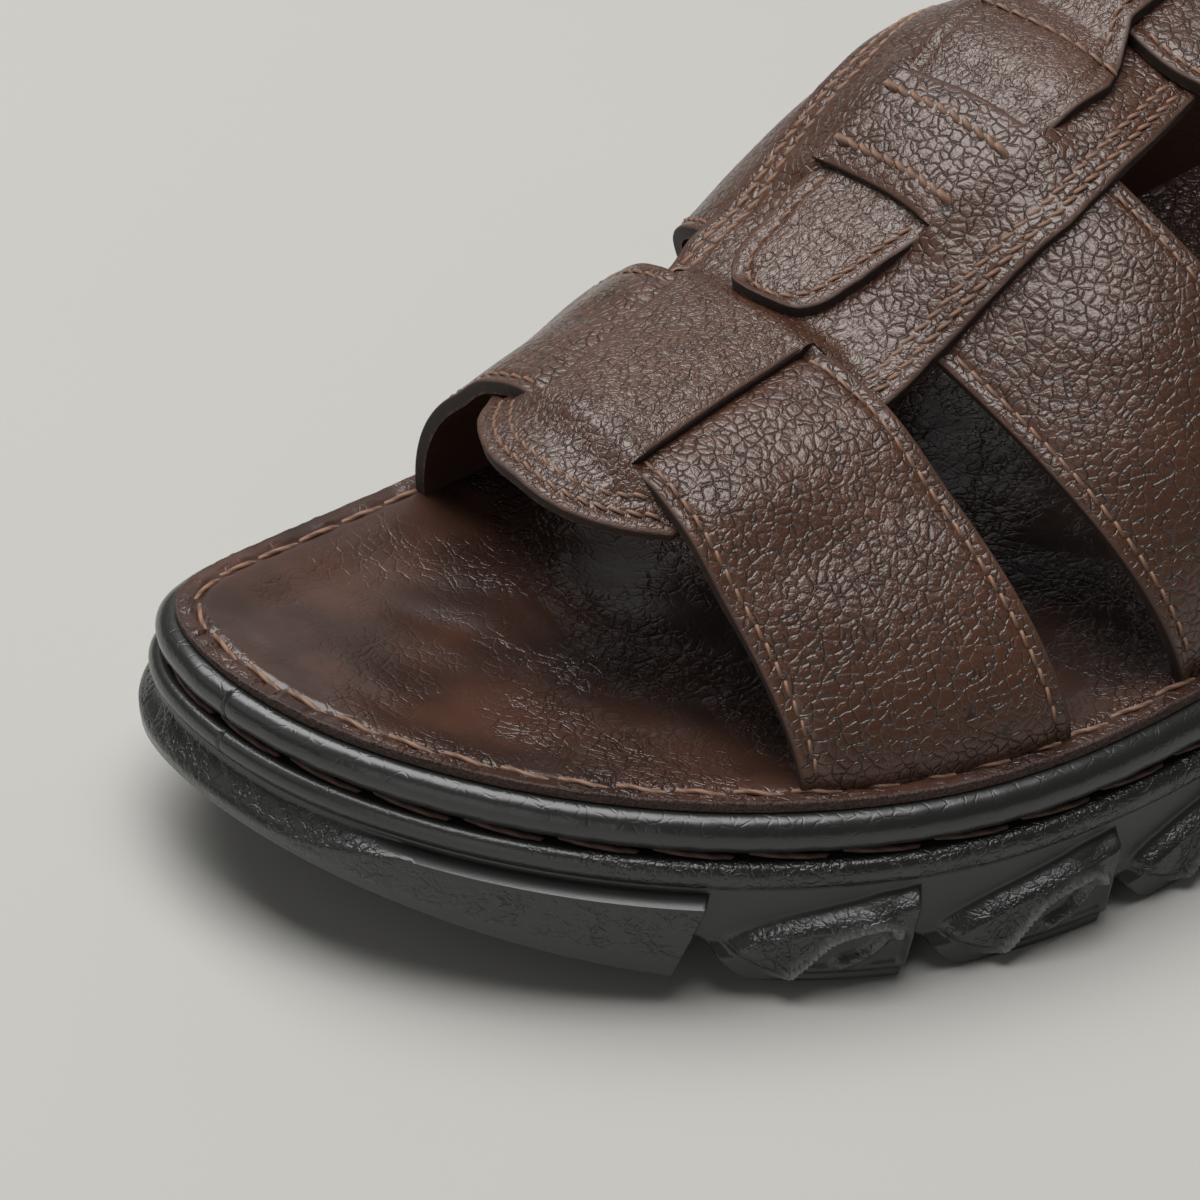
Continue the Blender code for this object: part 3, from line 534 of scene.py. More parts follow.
def column(table, index):
    """One named column of a table against its first column."""
    rows = np.array(table)
    return rows[:, 0], rows[:, index]


def strap_base_line(outer, samples=400):
    """Points (back, out) of the line along one side where the straps enter the insole."""
    turns = EDGE.turn(np.linspace(0.02, 0.98, samples), outer)
    plan = EDGE.offset(turns, np.full(samples, -STRAP_INSET))
    return plan[:, 1], plan[:, 0]


OUTER_BASE = strap_base_line(True)
INNER_BASE = strap_base_line(False)


def last_point(back, girth):
    """Point of the last as (out, back, height), from superellipse half sections.

    Within the saddle the girth place goes by width, beyond it by the section's angle, and past 2
    it goes straight down into the insole.
    """
    back, girth = np.broadcast_arrays(np.asarray(back, float), np.asarray(girth, float))
    ridge = natural_curve(*column(LAST, 1), back)
    top = natural_curve(*column(LAST, 2), back)
    base = seam_height(back) + SEAT_GAP + INSOLE_LIP
    edge = saddle_middle(back) + saddle_half(back) * np.clip(girth, -1.0, 1.0)
    outer = edge > ridge
    reach = np.where(outer, np.interp(back, *OUTER_BASE) - ridge, ridge - np.interp(back, *INNER_BASE))
    full = np.where(outer, natural_curve(*column(LAST, 4), back), natural_curve(*column(LAST, 3), back))
    share = np.clip(np.abs(edge - ridge) / reach, 0.0, 1.0)
    angle = np.arcsin(share**(full / 2.0))
    angle = angle + (np.pi / 2.0 - angle) * np.clip(np.abs(girth) - 1.0, 0.0, 1.0)
    out = ridge + np.where(outer, 1.0, -1.0) * reach * np.sin(angle)**(2.0 / full)
    rise = np.clip(np.cos(angle), 0.0, 1.0)**(2.0 / full)
    leg = np.clip((np.abs(girth) - 2.0) / (LEG_PLACE - 2.0), 0.0, 1.0)
    return np.stack([out, back, base + (top - base) * rise - LEG_DEPTH * leg], axis=-1)


def over_last(back, girth, height):
    """Point at a height over the last, square to its surface."""
    nudge_back = 0.4
    nudge_girth = 0.004
    back, girth, height = np.broadcast_arrays(back, girth, height)
    inside = np.clip(girth, -2.0 + nudge_girth, 2.0 - nudge_girth)
    along = last_point(back + nudge_back, girth) - last_point(back - nudge_back, girth)
    around = last_point(back, inside + nudge_girth) - last_point(back, inside - nudge_girth)
    return last_point(back, girth) + unit(np.cross(around, along)) * height[..., None]


def saddle_middle(back):
    """Out place of the saddle's middle."""
    return np.interp(back, *column(SADDLE, 1))


def saddle_half(back):
    """Half width of the saddle."""
    return np.interp(back, *column(SADDLE, 2))


def saddle_girth(back, out):
    """Girth place of an out place on the saddle."""
    return (out - saddle_middle(back)) / saddle_half(back)


def cross_line(name, girth):
    """How far back a named line across the upper lies at a girth place."""
    backs = CROSS_LINES[name]
    if name in ROUND_LINES:
        bow = np.clip(np.abs(girth), 0.0, 1.0)**ROUND_LINES[name]
        return backs[2] + (backs[3] - backs[2]) * bow
    return natural_curve((-2.0, -1.0, 0.0, 1.0, 2.0), backs, np.clip(girth, -2.0, 2.0))


def between(lines, girth, share):
    """Distances back and girth places at a share of the way from a front line to a rear line."""
    back = cross_line(lines[0], girth) * (1.0 - share) + cross_line(lines[1], girth) * share
    return np.broadcast_arrays(back, girth)


def strip_edges(back):
    """Girth places of the inner and outer edge of the over-band or bar."""
    middle = np.interp(back, *column(SADDLE, 3))
    half = np.interp(back, *column(SADDLE, 4))
    return saddle_girth(back, middle - half), saddle_girth(back, middle + half)


def both_ends(count):
    """Shares from 0 to 1 that crowd at both ends, by a half cosine wave."""
    return 0.5 - 0.5 * np.cos(np.pi * np.linspace(0.0, 1.0, count))


def distance_to(points, edge):
    """Shortest distance from each point of a grid to a run of edge points."""
    flat = points.reshape(-1, points.shape[-1])
    best = np.full(len(flat), np.inf)
    for start in range(0, len(edge), 48):
        gap = flat[:, None, :] - edge[None, start:start + 48, :]
        best = np.minimum(best, (gap**2).sum(axis=-1).min(axis=1))
    return np.sqrt(best).reshape(points.shape[:-1])


def dense(line, step=0.3):
    """Points along a run of points at about an even step."""
    run = run_length(line)
    at = np.linspace(0.0, run[-1], max(2, int(run[-1] / step)))
    return np.stack([np.interp(at, run, line[:, k]) for k in range(line.shape[1])], axis=-1)


HIDE_WAVES = (
    # radians per millimetre out, back and up, start in radians
    (0.31, 0.17, 0.23, 0.0),
    (-0.19, 0.37, 0.29, 1.3),
    (0.53, -0.41, 0.11, 2.1),
)


def undulate(points, size):
    """Soft unevenness of hide: the mean of three slow sine waves over the points, times `size`."""
    waves = 0.0
    for out, back, up, start in HIDE_WAVES:
        waves = waves + np.sin(points @ np.array([out, back, up]) + start)
    return size * waves / len(HIDE_WAVES)


def quarter_round(distance, radius):
    """How far a rounded edge lies below its face: the radius less the circle's height there."""
    inside = np.clip(radius - distance, 0.0, radius)
    return radius - np.sqrt(np.clip(radius**2 - inside**2, 0.0, None))


def edge_drop(distance, rows, thickness):
    """How far a leather surface lies below its full height at a distance from its cut edge.

    A small quarter-round at the edge, a slight fall of the margin and a bell-shaped groove under
    each row of stitches.
    """
    drop = quarter_round(distance, EDGE_ROUND * thickness)
    drop = drop + MARGIN_FALL * (1.0 - smooth(distance / MARGIN_RUN))
    for row in rows:
        drop = drop + STITCH_GROOVE * bell(distance - row, STITCH_GROOVE_WIDTH)
    return drop


def grid_quads(number):
    """Corner numbers of the quads between the rows and columns of a grid of point numbers."""
    corners = (number[:-1, :-1], number[1:, :-1], number[1:, 1:], number[:-1, 1:])
    return np.stack(corners, axis=-1).reshape(-1, 4)


class Piece:
    """Grids of points, faces and point values of one piece while it is put together."""

    def __init__(self):
        self.points = []
        self.quads = []
        self.values = {}
        self.count = 0

    def patch(self, points, loop_rows=False, loop_columns=False, **values):
        """Add a grid of points as quads, closed round its rows or columns where asked."""
        rows, columns = points.shape[:2]
        number = np.arange(rows * columns).reshape(rows, columns) + self.count
        if loop_rows:
            number = np.vstack([number, number[:1]])
        if loop_columns:
            number = np.hstack([number, number[:, :1]])
        self.quads.append(grid_quads(number))
        self.points.append(points.reshape(-1, 3))
        for name in sorted(set(self.values) | set(values)):
            value = np.asarray(values.get(name, 0.0), float)
            flat = np.broadcast_to(value, (rows, columns)).reshape(-1)
            self.values.setdefault(name, [np.zeros(self.count)]).append(flat)
        self.count += rows * columns

    def slab(self, low, high, walls, **values):
        """Leather between a lower and an upper grid, with walls along the named sides."""
        self.patch(high, **values)
        self.patch(low, edge=0.4)
        sides = {
            "front": (low[0], high[0]),
            "rear": (low[-1], high[-1]),
            "left": (low[:, 0], high[:, 0]),
            "right": (low[:, -1], high[:, -1]),
        }
        for side in walls:
            foot, top = sides[side]
            share = np.linspace(0.0, 1.0, 4)[:, None, None]
            self.patch(foot + (top - foot) * share, edge=0.0)

    def make(self, name, material, slot, nodes, sharp=48.0, merge=2e-6):
        """Weld the patches, point the faces outwards and hand the piece to the frame."""
        points = np.concatenate(self.points)
        quads = np.concatenate(self.quads)
        mesh = bpy.data.meshes.new(name)
        mesh.vertices.add(len(points))
        mesh.vertices.foreach_set("co", points.astype(np.float32).ravel())
        mesh.loops.add(quads.size)
        mesh.loops.foreach_set("vertex_index", quads.astype(np.int32).ravel())
        mesh.polygons.add(len(quads))
        mesh.polygons.foreach_set("loop_start", np.arange(len(quads), dtype=np.int32) * 4)
        mesh.update(calc_edges=True)
        for key, parts in self.values.items():
            data = mesh.attributes.new(key, "FLOAT", "POINT")
            data.data.foreach_set("value", np.concatenate(parts).astype(np.float32))
        body = bmesh.new()
        body.from_mesh(mesh)
        bmesh.ops.remove_doubles(body, verts=body.verts, dist=merge)
        bmesh.ops.dissolve_degenerate(body, edges=body.edges, dist=1e-7)
        bmesh.ops.recalc_face_normals(body, faces=body.faces)
        body.to_mesh(mesh)
        body.free()
        if not len(mesh.polygons):
            raise RuntimeError(f"{name} has no faces")
        mesh.shade_smooth()
        mesh.set_sharp_from_angle(angle=np.radians(sharp))
        mesh.materials.append(material)
        piece = bpy.data.objects.new(name, mesh)
        bpy.context.scene.collection.objects.link(piece)
        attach(piece, BODY)
        if nodes:
            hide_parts(*nodes)
        return piece


class Finish:
    """A procedural material: nodes are added by name and wired through their sockets."""

    def __init__(self, name):
        self.material = bpy.data.materials.new(name)
        self.material.use_nodes = True
        self.nodes = self.material.node_tree.nodes
        self.links = self.material.node_tree.links
        self.shader = self.nodes["Principled BSDF"]
        self.where = self.add("ShaderNodeTexCoord").outputs["Object"]

    def add(self, kind, settings=None, **inputs):
        """Add a node, set its settings and set or link its inputs."""
        node = self.nodes.new(kind)
        for key, value in (settings or {}).items():
            setattr(node, key, value)
        for key, value in inputs.items():
            socket = node.inputs[int(key[1:])] if key[0] == "i" and key[1:].isdigit() else node.inputs[key]
            self.wire(socket, value)
        return node

    def wire(self, socket, value):
        """Link an output to a socket, or set the socket's own value."""
        if isinstance(value, bpy.types.NodeSocket):
            self.links.new(value, socket)
        else:
            socket.default_value = value

    def math(self, operation, first, second=0.0):
        """Result of a math node."""
        return self.add("ShaderNodeMath", {"operation": operation}, i0=first, i1=second).outputs[0]

    def plus(self, base, pattern, share):
        """A value with a share of a pattern added to it."""
        return self.math("ADD", base, self.math("MULTIPLY", pattern, share))

    def attribute(self, name):
        """A point value of the piece."""
        return self.add("ShaderNodeAttribute", {"attribute_name": name}).outputs["Fac"]

    def ease(self, value, low, high, first=0.0, second=1.0):
        """Smooth step of a value between two limits."""
        settings = {"interpolation_type": "SMOOTHSTEP"}
        node = self.add("ShaderNodeMapRange", settings, i0=value, i1=low, i2=high, i3=first, i4=second)
        return node.outputs[0]

    def noise(self, scale, detail):
        """Noise value at a scale per metre."""
        return self.add("ShaderNodeTexNoise", Vector=self.where, Scale=scale, Detail=detail).outputs["Fac"]

    def warp(self, scale, amount):
        """Coordinates pushed about by a coloured noise, by up to an amount in metres."""
        noise = self.add("ShaderNodeTexNoise", Vector=self.where, Scale=scale, Detail=2.0)
        centred = self.add("ShaderNodeVectorMath", {"operation": "SUBTRACT"}, i0=noise.outputs["Color"],
                           i1=(0.5, 0.5, 0.5))
        sized = self.add("ShaderNodeVectorMath", {"operation": "SCALE"}, i0=centred.outputs[0], Scale=amount)
        moved = self.add("ShaderNodeVectorMath", {"operation": "ADD"}, i0=self.where, i1=sized.outputs[0])
        return moved.outputs[0]

    def stretch(self, scale, where):
        """Coordinates scaled by three factors."""
        return self.add("ShaderNodeMapping", Vector=where, Scale=scale).outputs[0]

    def cells(self, scale, where, width):
        """Cell pattern: 0 in the creases between cells, rising to 1 over their tops."""
        return self.ease(self.edges(scale, where), 0.0, width)

    def edges(self, scale, where):
        """Distance to the nearest cell border: roof-shaped facets."""
        node = self.add("ShaderNodeTexVoronoi", {"feature": "DISTANCE_TO_EDGE"}, Vector=where, Scale=scale)
        return node.outputs["Distance"]

    def faded(self, pattern, share):
        """Pattern whose creases close where the share is low: 1 minus (1 minus pattern) times share."""
        open_part = self.math("MULTIPLY", self.math("SUBTRACT", 1.0, pattern), share)
        return self.math("SUBTRACT", 1.0, open_part)

    def mix(self, share, first, second):
        """Blend two colours."""
        node = self.add("ShaderNodeMix", {"data_type": "RGBA"}, i0=share, i6=first, i7=second)
        return node.outputs[2]

    def blend(self, share, first, second):
        """Blend two values."""
        node = self.add("ShaderNodeMix", {"data_type": "FLOAT"}, i0=share, i2=first, i3=second)
        return node.outputs[0]

    def bump(self, height, depth, strength=1.0):
        """Wire a height into the surface's normal; depth in metres."""
        node = self.add("ShaderNodeBump", Height=height, Distance=depth, Strength=strength)
        self.links.new(node.outputs[0], self.shader.inputs["Normal"])
        self.links.new(node.outputs[0], self.shader.inputs["Coat Normal"])

    def surface(self, colour, roughness, **sockets):
        """Wire colour and roughness and set the shader's other sockets."""
        self.wire(self.shader.inputs["Base Color"], colour)
        self.wire(self.shader.inputs["Roughness"], roughness)
        for key, value in sockets.items():
            self.wire(self.shader.inputs[key.replace("_", " ")], value)
        return self.material


def rgba(colour, factor=1.0):
    """Colour with full alpha, darkened or lightened by a factor."""
    return (colour[0] * factor, colour[1] * factor, colour[2] * factor, 1.0)


def upper_leather(scene):
    """Pebbled brown leather: rounded cells cut by thin creases, long fine wrinkles where `grain` is low."""
    finish = Finish("strap_leather")
    colours = scene.sandal_colours
    cell = 1.0 / scene.sandal_sizes.grain
    open_crease = finish.ease(finish.noise(400.0, 2.0), 0.3, 0.58, 0.3, 1.0)
    pebble = finish.edges(cell, finish.warp(380.0, 0.0016))
    crease = finish.faded(finish.ease(pebble, 0.0, 0.11), open_crease)
    small = finish.cells(cell * 2.2, finish.warp(700.0, 0.0007), 0.2)
    pebbles = finish.blend(0.3, crease, finish.ease(pebble, 0.0, 0.4))
    pebbles = finish.blend(0.1, pebbles, small)
    along = finish.stretch((1.0, 0.6, 0.8), finish.warp(420.0, 0.0018))
    fold = finish.edges(cell * 1.3, along)
    fine = finish.cells(cell * 2.5, along, 0.16)
    wrinkles = finish.blend(0.3, finish.faded(finish.ease(fold, 0.0, 0.1), open_crease), fine)
    wrinkles = finish.blend(0.22, wrinkles, finish.ease(fold, 0.0, 0.4))
    grained = finish.attribute("grain")
    grain = finish.blend(grained, wrinkles, pebbles)
    inside = finish.ease(finish.attribute("edge"), 0.1, 1.0)
    pores = finish.noise(4200.0, 2.0)
    depth = finish.math("MULTIPLY", finish.blend(grained, 0.9, 1.0), finish.blend(inside, 0.15, 1.0))
    height = finish.math("MULTIPLY", grain, depth)
    height = finish.plus(height, pores, 0.06)
    patches = finish.ease(finish.noise(55.0, 3.0), 0.3, 0.72)
    colour = finish.mix(patches, rgba(colours.leather), rgba(colours.leather_light))
    # Painted shade: the creases between pebbles and wrinkles are painted darker, except near the cut edges.
    crease_shade = finish.blend(inside, 1.0, finish.ease(grain, 0.1, 0.5))
    colour = finish.mix(crease_shade, rgba(colours.leather, 0.4), colour)
    colour = finish.mix(finish.ease(finish.attribute("edge"), 0.02, 0.25), rgba(colours.edge), colour)
    rough = finish.blend(inside, 0.7, finish.blend(grain, 0.5, 0.33))
    finish.bump(height, 0.0002, 1.0)
    return finish.surface(colour, rough, Specular_IOR_Level=0.5, Coat_Weight=finish.blend(inside, 0.0, 0.5),
                          Coat_Roughness=0.22)


def insole_leather(scene):
    """Glossy reddish leather, scuffed in clouds.

    Soft roof-shaped folds of two sizes are cut by thin straight crinkles of three sizes, both as
    deep as `crumple` says. The raw nap of the cut shows where `edge` is low.
    """
    finish = Finish("insole_cover_leather")
    colours = scene.sandal_colours
    large = finish.edges(210.0, finish.warp(120.0, 0.006))
    small = finish.edges(480.0, finish.warp(300.0, 0.0022))
    tiny = finish.edges(980.0, finish.warp(600.0, 0.0012))
    clouds = finish.noise(60.0, 3.0)
    wear_and_glint = finish.ease(finish.noise(75.0, 2.0), 0.36, 0.62, 0.1, 1.0)
    lines = finish.math("MULTIPLY", finish.ease(large, 0.0, 0.06), 0.5)
    lines = finish.plus(lines, finish.ease(small, 0.0, 0.1), 0.5)
    lines = finish.plus(lines, finish.ease(tiny, 0.0, 0.16), 0.22)
    crumple = finish.plus(finish.plus(lines, large, 1.5), small, 0.9)
    share = finish.math("MULTIPLY", wear_and_glint, finish.attribute("crumple"))
    height = finish.math("MULTIPLY", crumple, share)
    tone = finish.mix(finish.ease(clouds, 0.32, 0.7), rgba(colours.insole, 0.5), rgba(colours.insole, 1.2))
    # Painted shade: the thin crinkle lines are painted darker where the leather is crumpled.
    crinkle_shade = finish.math("MULTIPLY", finish.ease(small, 0.0, 0.12, 0.6, 0.0), share)
    tone = finish.mix(crinkle_shade, tone, rgba(colours.insole, 0.4))
    nap = finish.noise(2400.0, 3.0)
    raw = finish.mix(finish.ease(nap, 0.3, 0.7), rgba(colours.cut_edge, 0.4), rgba(colours.cut_edge, 1.4))
    rim = finish.ease(finish.attribute("edge"), 0.1, 0.6)
    height = finish.plus(height, nap, finish.blend(rim, 1.2, 0.05))
    finish.bump(height, 0.00028, 1.0)
    rough = finish.blend(finish.ease(clouds, 0.3, 0.75), 0.38, 0.26)
    rough = finish.blend(rim, 0.9, rough)
    return finish.surface(finish.mix(rim, raw, tone), rough, Specular_IOR_Level=0.5, Coat_Weight=0.25,
                          Coat_Roughness=0.16)


def bead_rubber(scene):
    """Satin black bead: nearly smooth, with faint short marks."""
    finish = Finish("satin_bead")
    colours = scene.sandal_colours
    marks = finish.cells(420.0, finish.warp(220.0, 0.003), 0.1)
    soft = finish.noise(900.0, 3.0)
    height = finish.plus(finish.math("MULTIPLY", marks, 0.3), soft, 0.5)
    finish.bump(height, 0.00009, 0.6)
    colour = finish.mix(finish.noise(90.0, 2.0), rgba(colours.bead, 0.85), rgba(colours.bead, 1.2))
    rough = finish.blend(soft, 0.26, 0.36)
    return finish.surface(colour, rough, Specular_IOR_Level=0.5, Coat_Weight=0.5, Coat_Roughness=0.27)


def sole_rubber(scene):
    """Black moulded rubber: satin, glossy and crumpled where `wrinkle` is high, painted paler where `rubbed`
    is high: a painted highlight along the lugs' ridge and hook crests.
    """
    finish = Finish("moulded_rubber")
    colours = scene.sandal_colours
    wrinkle = finish.attribute("wrinkle")
    folds = finish.edges(560.0, finish.warp(330.0, 0.003))
    small = finish.cells(1150.0, finish.warp(600.0, 0.002), 0.2)
    patchy = finish.ease(finish.noise(210.0, 2.0), 0.34, 0.62, 0.25, 1.0)
    crumple = finish.math("MULTIPLY", finish.ease(folds, 0.0, 0.11), 0.55)
    crumple = finish.plus(finish.plus(crumple, folds, 0.7), small, 0.3)
    crumple = finish.math("MULTIPLY", crumple, patchy)
    fine = finish.noise(2600.0, 2.0)
    height = finish.plus(finish.math("MULTIPLY", crumple, wrinkle), fine, 0.06)
    finish.bump(height, 0.00019, 1.0)
    colour = finish.mix(finish.noise(80.0, 2.0), rgba(colours.rubber, 0.85), rgba(colours.rubber, 1.2))
    # Painted highlight: flecks of fine noise paint the ridge and hook crests of the lugs far paler.
    wear_and_glint = finish.math("MULTIPLY", finish.attribute("rubbed"), finish.ease(fine, 0.3, 0.6, 0.35, 1.0))
    colour = finish.mix(wear_and_glint, colour, rgba(colours.rubber, 8.0))
    rough = finish.blend(wrinkle, 0.38, 0.26)
    return finish.surface(colour, rough, Specular_IOR_Level=0.5, Coat_Weight=0.5, Coat_Roughness=0.24)


def twisted_thread(name, colour):
    """Twisted thread: a sine of `twist` parts the strands, fibres roughen them."""
    finish = Finish(name)
    strand = finish.math("SINE", finish.attribute("twist"))
    strand = finish.ease(strand, -1.0, 0.6)
    fibre = finish.noise(5200.0, 2.0)
    height = finish.plus(strand, fibre, 0.35)
    finish.bump(height, 0.0001, 0.7)
    # Painted shade: the grooves between the twisted strands are painted darker than the strands.
    shade = finish.mix(strand, rgba(colour, 0.62), rgba(colour, 1.1))
    return finish.surface(shade, 0.58, Specular_IOR_Level=0.35)


def thread_material(scene):
    """The tan thread of upper and insole, made once."""
    found = bpy.data.materials.get("tan_thread")
    return found or twisted_thread("tan_thread", scene.sandal_colours.thread)


def leather_material(scene):
    """The upper's leather, made once."""
    return bpy.data.materials.get("strap_leather") or upper_leather(scene)


class Threads:
    """Stitches of many rows, gathered into one piece."""

    STATIONS = np.array((0.0, 0.07, 0.25, 0.5, 0.75, 0.93, 1.0))
    TAPER = np.array((0.0, 0.85, 1.0, 1.0, 1.0, 0.85, 0.0))

    def __init__(self, radius):
        self.radius = radius
        self.piece = Piece()

    def row(self, points, normals, pitch, fill=0.96, lift=0.6, slant=0.16, thick=1.0):
        """Lay stitches along a run of points on a surface.

        Each stitch is a tube over a share of the pitch: its middle line follows the run, rises
        over it by a power of a half sine, dives under the surface at both ends and closes there.
        """
        run = run_length(points)
        count = max(1, int(round(run[-1] / pitch)))
        pitch = run[-1] / count
        radius = self.radius * thick
        first = (np.arange(count) + 0.5 * (1.0 - fill)) * pitch
        at = first[:, None] + self.STATIONS * fill * pitch
        centre = np.stack([np.interp(at, run, points[:, k]) for k in range(3)], axis=-1)
        up = unit(np.stack([np.interp(at, run, normals[:, k]) for k in range(3)], axis=-1))
        side = unit(np.cross(unit(np.gradient(centre, axis=1)), up))
        arch = np.sin(np.pi * self.STATIONS)**THREAD_ARCH
        arch = radius * ((lift + THREAD_DIVE) * arch - THREAD_DIVE)
        sway = slant * (2.0 * self.STATIONS - 1.0)
        centre = centre + up * arch[:, None] + side * sway[:, None]
        self.tubes(centre, up, side, self.STATIONS * fill * pitch, radius)

    def tubes(self, centre, up, side, travel, radius, sides=6):
        """Six-sided tubes round many short middle lines, tapering to a point at both ends."""
        turn = np.arange(sides) * 2.0 * np.pi / sides
        ring = np.cos(turn)[:, None] * side[..., None, :] + np.sin(turn)[:, None] * up[..., None, :]
        points = centre[..., None, :] + radius * self.TAPER[:, None, None] * ring
        twist = travel[:, None] * THREAD_TWIST + turn
        for stitch in points:
            self.piece.patch(placed(stitch), loop_columns=True, twist=twist)

    def make(self, name, material, slot):
        """Hand the gathered stitches to the frame as one piece."""
        self.piece.make(name, material, slot, (), sharp=80.0, merge=1e-9)


def surface_run(back, girth, height):
    """Points and normals of a run over the last, evenly spaced."""
    points = over_last(back, girth, height)
    normals = over_last(back, girth, height + 1.0) - points
    both = dense(np.concatenate([points, normals], axis=-1), 0.4)
    return both[:, :3], both[:, 3:]


def off_band(back, girth):
    """Millimetres beyond the over-band's or strip's edge, below 0 inside it."""
    inner, outer = strip_edges(back)
    return np.maximum(girth - outer, inner - girth) * saddle_half(back)


def wing_sink(back, girth):
    """How far strap 1 presses down the saddle's inner wing: steps along the foot and across it."""
    front = cross_line("strap 1 front", girth)
    rear = cross_line("strap 1 rear", girth)
    along = smooth((back - front + WING_REACH) / WING_RUN) * smooth((rear + WING_REACH - back) / WING_RUN)
    return WING_SINK * along * smooth((strip_edges(back)[0] - girth) / WING_ACROSS)


def saddle_low(back, girth, zone, centre):
    """Underside of the saddle over the last.

    The over-band rises over strap 1 by a smooth step at each end, the wings beside it stay down,
    the part behind rises over strap 2, and the bar between the slits arches over the strip.
    """
    front = cross_line("strap 1 front", girth)
    rear = cross_line("strap 1 rear", girth)
    reach = BAND_EARLY * BAND_RUN
    over = smooth((back - front + reach) / BAND_RUN) * smooth((rear + reach - back) / BAND_RUN)
    beside = np.clip(off_band(back, girth), 0.0, None)
    if zone == "band" and not centre:
        tuck = 1.0 - smooth(np.minimum(back - front, rear - back) / TUCK_RUN + TUCK_START)
        over = over * tuck
    rise = BAND_LIFT * over * (1.0 - smooth(beside / BAND_FADE))
    behind = SADDLE_LIFT * smooth((back - rear) / SADDLE_RUN)
    behind = behind * (1.0 - SADDLE_SINK * smooth((back - SADDLE_SINK_START) / SADDLE_RUN))
    low = np.hypot(rise, behind) - wing_sink(back, girth)
    if zone in ("behind", "bar", "rear"):
        low = low + bar_lift(back, girth, zone != "bar" and centre)
    return low


def bar_lift(back, girth, under):
    """How far the bar arches over the strip: smooth steps across its ends and along the foot.

    The leather beside the bar's ends rises with it. The slits' lower lips, `under`, rise only there.
    """
    beside = off_band(back, girth)
    along = smooth((back - cross_line("slit 2", girth) + BAR_RUN) / BAR_RUN)
    along = along * smooth((cross_line("slit 1", girth) + BAR_RUN - back) / BAR_RUN)
    lift = BAR_LIFT * along * (1.0 - smooth((beside + BAR_END) / BAR_FADE))
    return lift * smooth((beside + BAR_END) / BAR_END) if under else lift


ZONES = (
    # name, front line, rear line, rows, crowding of the rows
    ("tab", "tab front", "strap 1 front", 24, "front"),
    ("band", "strap 1 front", "strap 1 rear", 50, "even"),
    ("behind", "strap 1 rear", "slit 2", 30, "even"),
    ("bar", "slit 2", "slit 1", 30, "ends"),
    ("rear", "slit 1", "saddle rear", 36, "even"),
)
CROWDING = {
    "front": lambda count: np.linspace(0.0, 1.0, count)**2,
    "even": lambda count: np.linspace(0.0, 1.0, count),
    "ends": both_ends,
}
PUCKER_DEPTH = 0.16
PUCKER_FOLDS = 13.0
PUCKER_REACH = 2.6
PUCKER_WIDTH = 2.0
PUCKERS = (
    # place of a slit's end: line, which edge of the strip, fan turned from the heel in degrees
    ("slit 2", 1, 150.0),
    ("slit 2", 0, 210.0),
    ("slit 1", 1, 60.0),
    ("strap 1 rear", 1, 40.0),
    ("strap 1 rear", 0, -40.0),
    ("strap 1 front", 1, 150.0),
)


def saddle_outline():
    """Points over the last of the saddle's cut edge, all round."""
    across = np.linspace(-1.0, 1.0, 240)
    front = over_last(cross_line("tab front", across), across, SADDLE_LEVEL)
    rear = over_last(cross_line("saddle rear", across), across, SADDLE_LEVEL)
    back = np.linspace(CROSS_LINES["tab front"][3], CROSS_LINES["saddle rear"][3], 300)
    left = over_last(back, -1.0, SADDLE_LEVEL)
    right = over_last(back, 1.0, SADDLE_LEVEL)
    return np.concatenate([dense(line) for line in (front, rear, left, right)])


def pucker(back, girth):
    """Radial creases fanning out of the slits' ends: a cosine of the angle, fading with distance."""
    out = saddle_middle(back) + girth * saddle_half(back)
    depth = np.zeros_like(out)
    for line, edge, turn in PUCKERS:
        at_back = cross_line(line, strip_edges(cross_line(line, 0.0))[edge])
        at_out = saddle_middle(at_back) + strip_edges(at_back)[edge] * saddle_half(at_back)
        along = back - at_back
        across = out - at_out
        reach = np.hypot(along, across)
        angle = np.arctan2(across, along) - np.radians(turn)
        facing = smooth(0.5 + 0.9 * np.cos(angle))
        near = bell(reach - PUCKER_REACH, PUCKER_WIDTH)
        depth = depth + PUCKER_DEPTH * np.cos(PUCKER_FOLDS * angle) * near * facing
    return depth


def saddle_block(lines, rows, crowd, part):
    """Distances back and girth places over one block of the saddle, between two lines across it."""
    share = CROWDING[crowd](rows)[:, None]
    inner, outer = strip_edges(between(lines, 0.0, share)[0])
    if part == "centre":
        girth = inner + (outer - inner) * both_ends(44)
    elif part == "right":
        girth = outer + (1.0 - outer) * (1.0 - np.linspace(1.0, 0.0, 24)**2)
    else:
        girth = -1.0 + (inner + 1.0) * np.linspace(0.0, 1.0, 24)**2
    return between(lines, girth, share)


def saddle_walls(zone, part):
    """Sides of a block that are cut edges of the leather."""
    walls = []
    if part in ("left", "right"):
        walls.append(part)
        if zone == "band":
            walls.append("right" if part == "left" else "left")
    if zone == "tab":
        walls.append("front")
    if zone == "rear":
        walls.append("rear")
    if part == "centre":
        if zone == "band":
            walls += ["left", "right"]
        walls += {"bar": ["front", "rear"], "behind": ["rear"], "rear": ["front"]}.get(zone, [])
    return walls


def slit_distance(zone, part, back, girth):
    """Distance to the block's own slit edge, fading to far at the slit's ends."""
    far = 2.0 * EDGE_REACH
    if part != "centre" or zone not in ("band", "bar"):
        return np.full(back.shape, far)
    if zone == "band":
        gap = -off_band(back, girth)
        end = np.minimum(back - back[:1], back[-1:] - back)
    else:
        gap = np.minimum(back - back[:1], back[-1:] - back)
        end = -off_band(back, girth)
    return gap + far * (1.0 - smooth(end / 2.5))


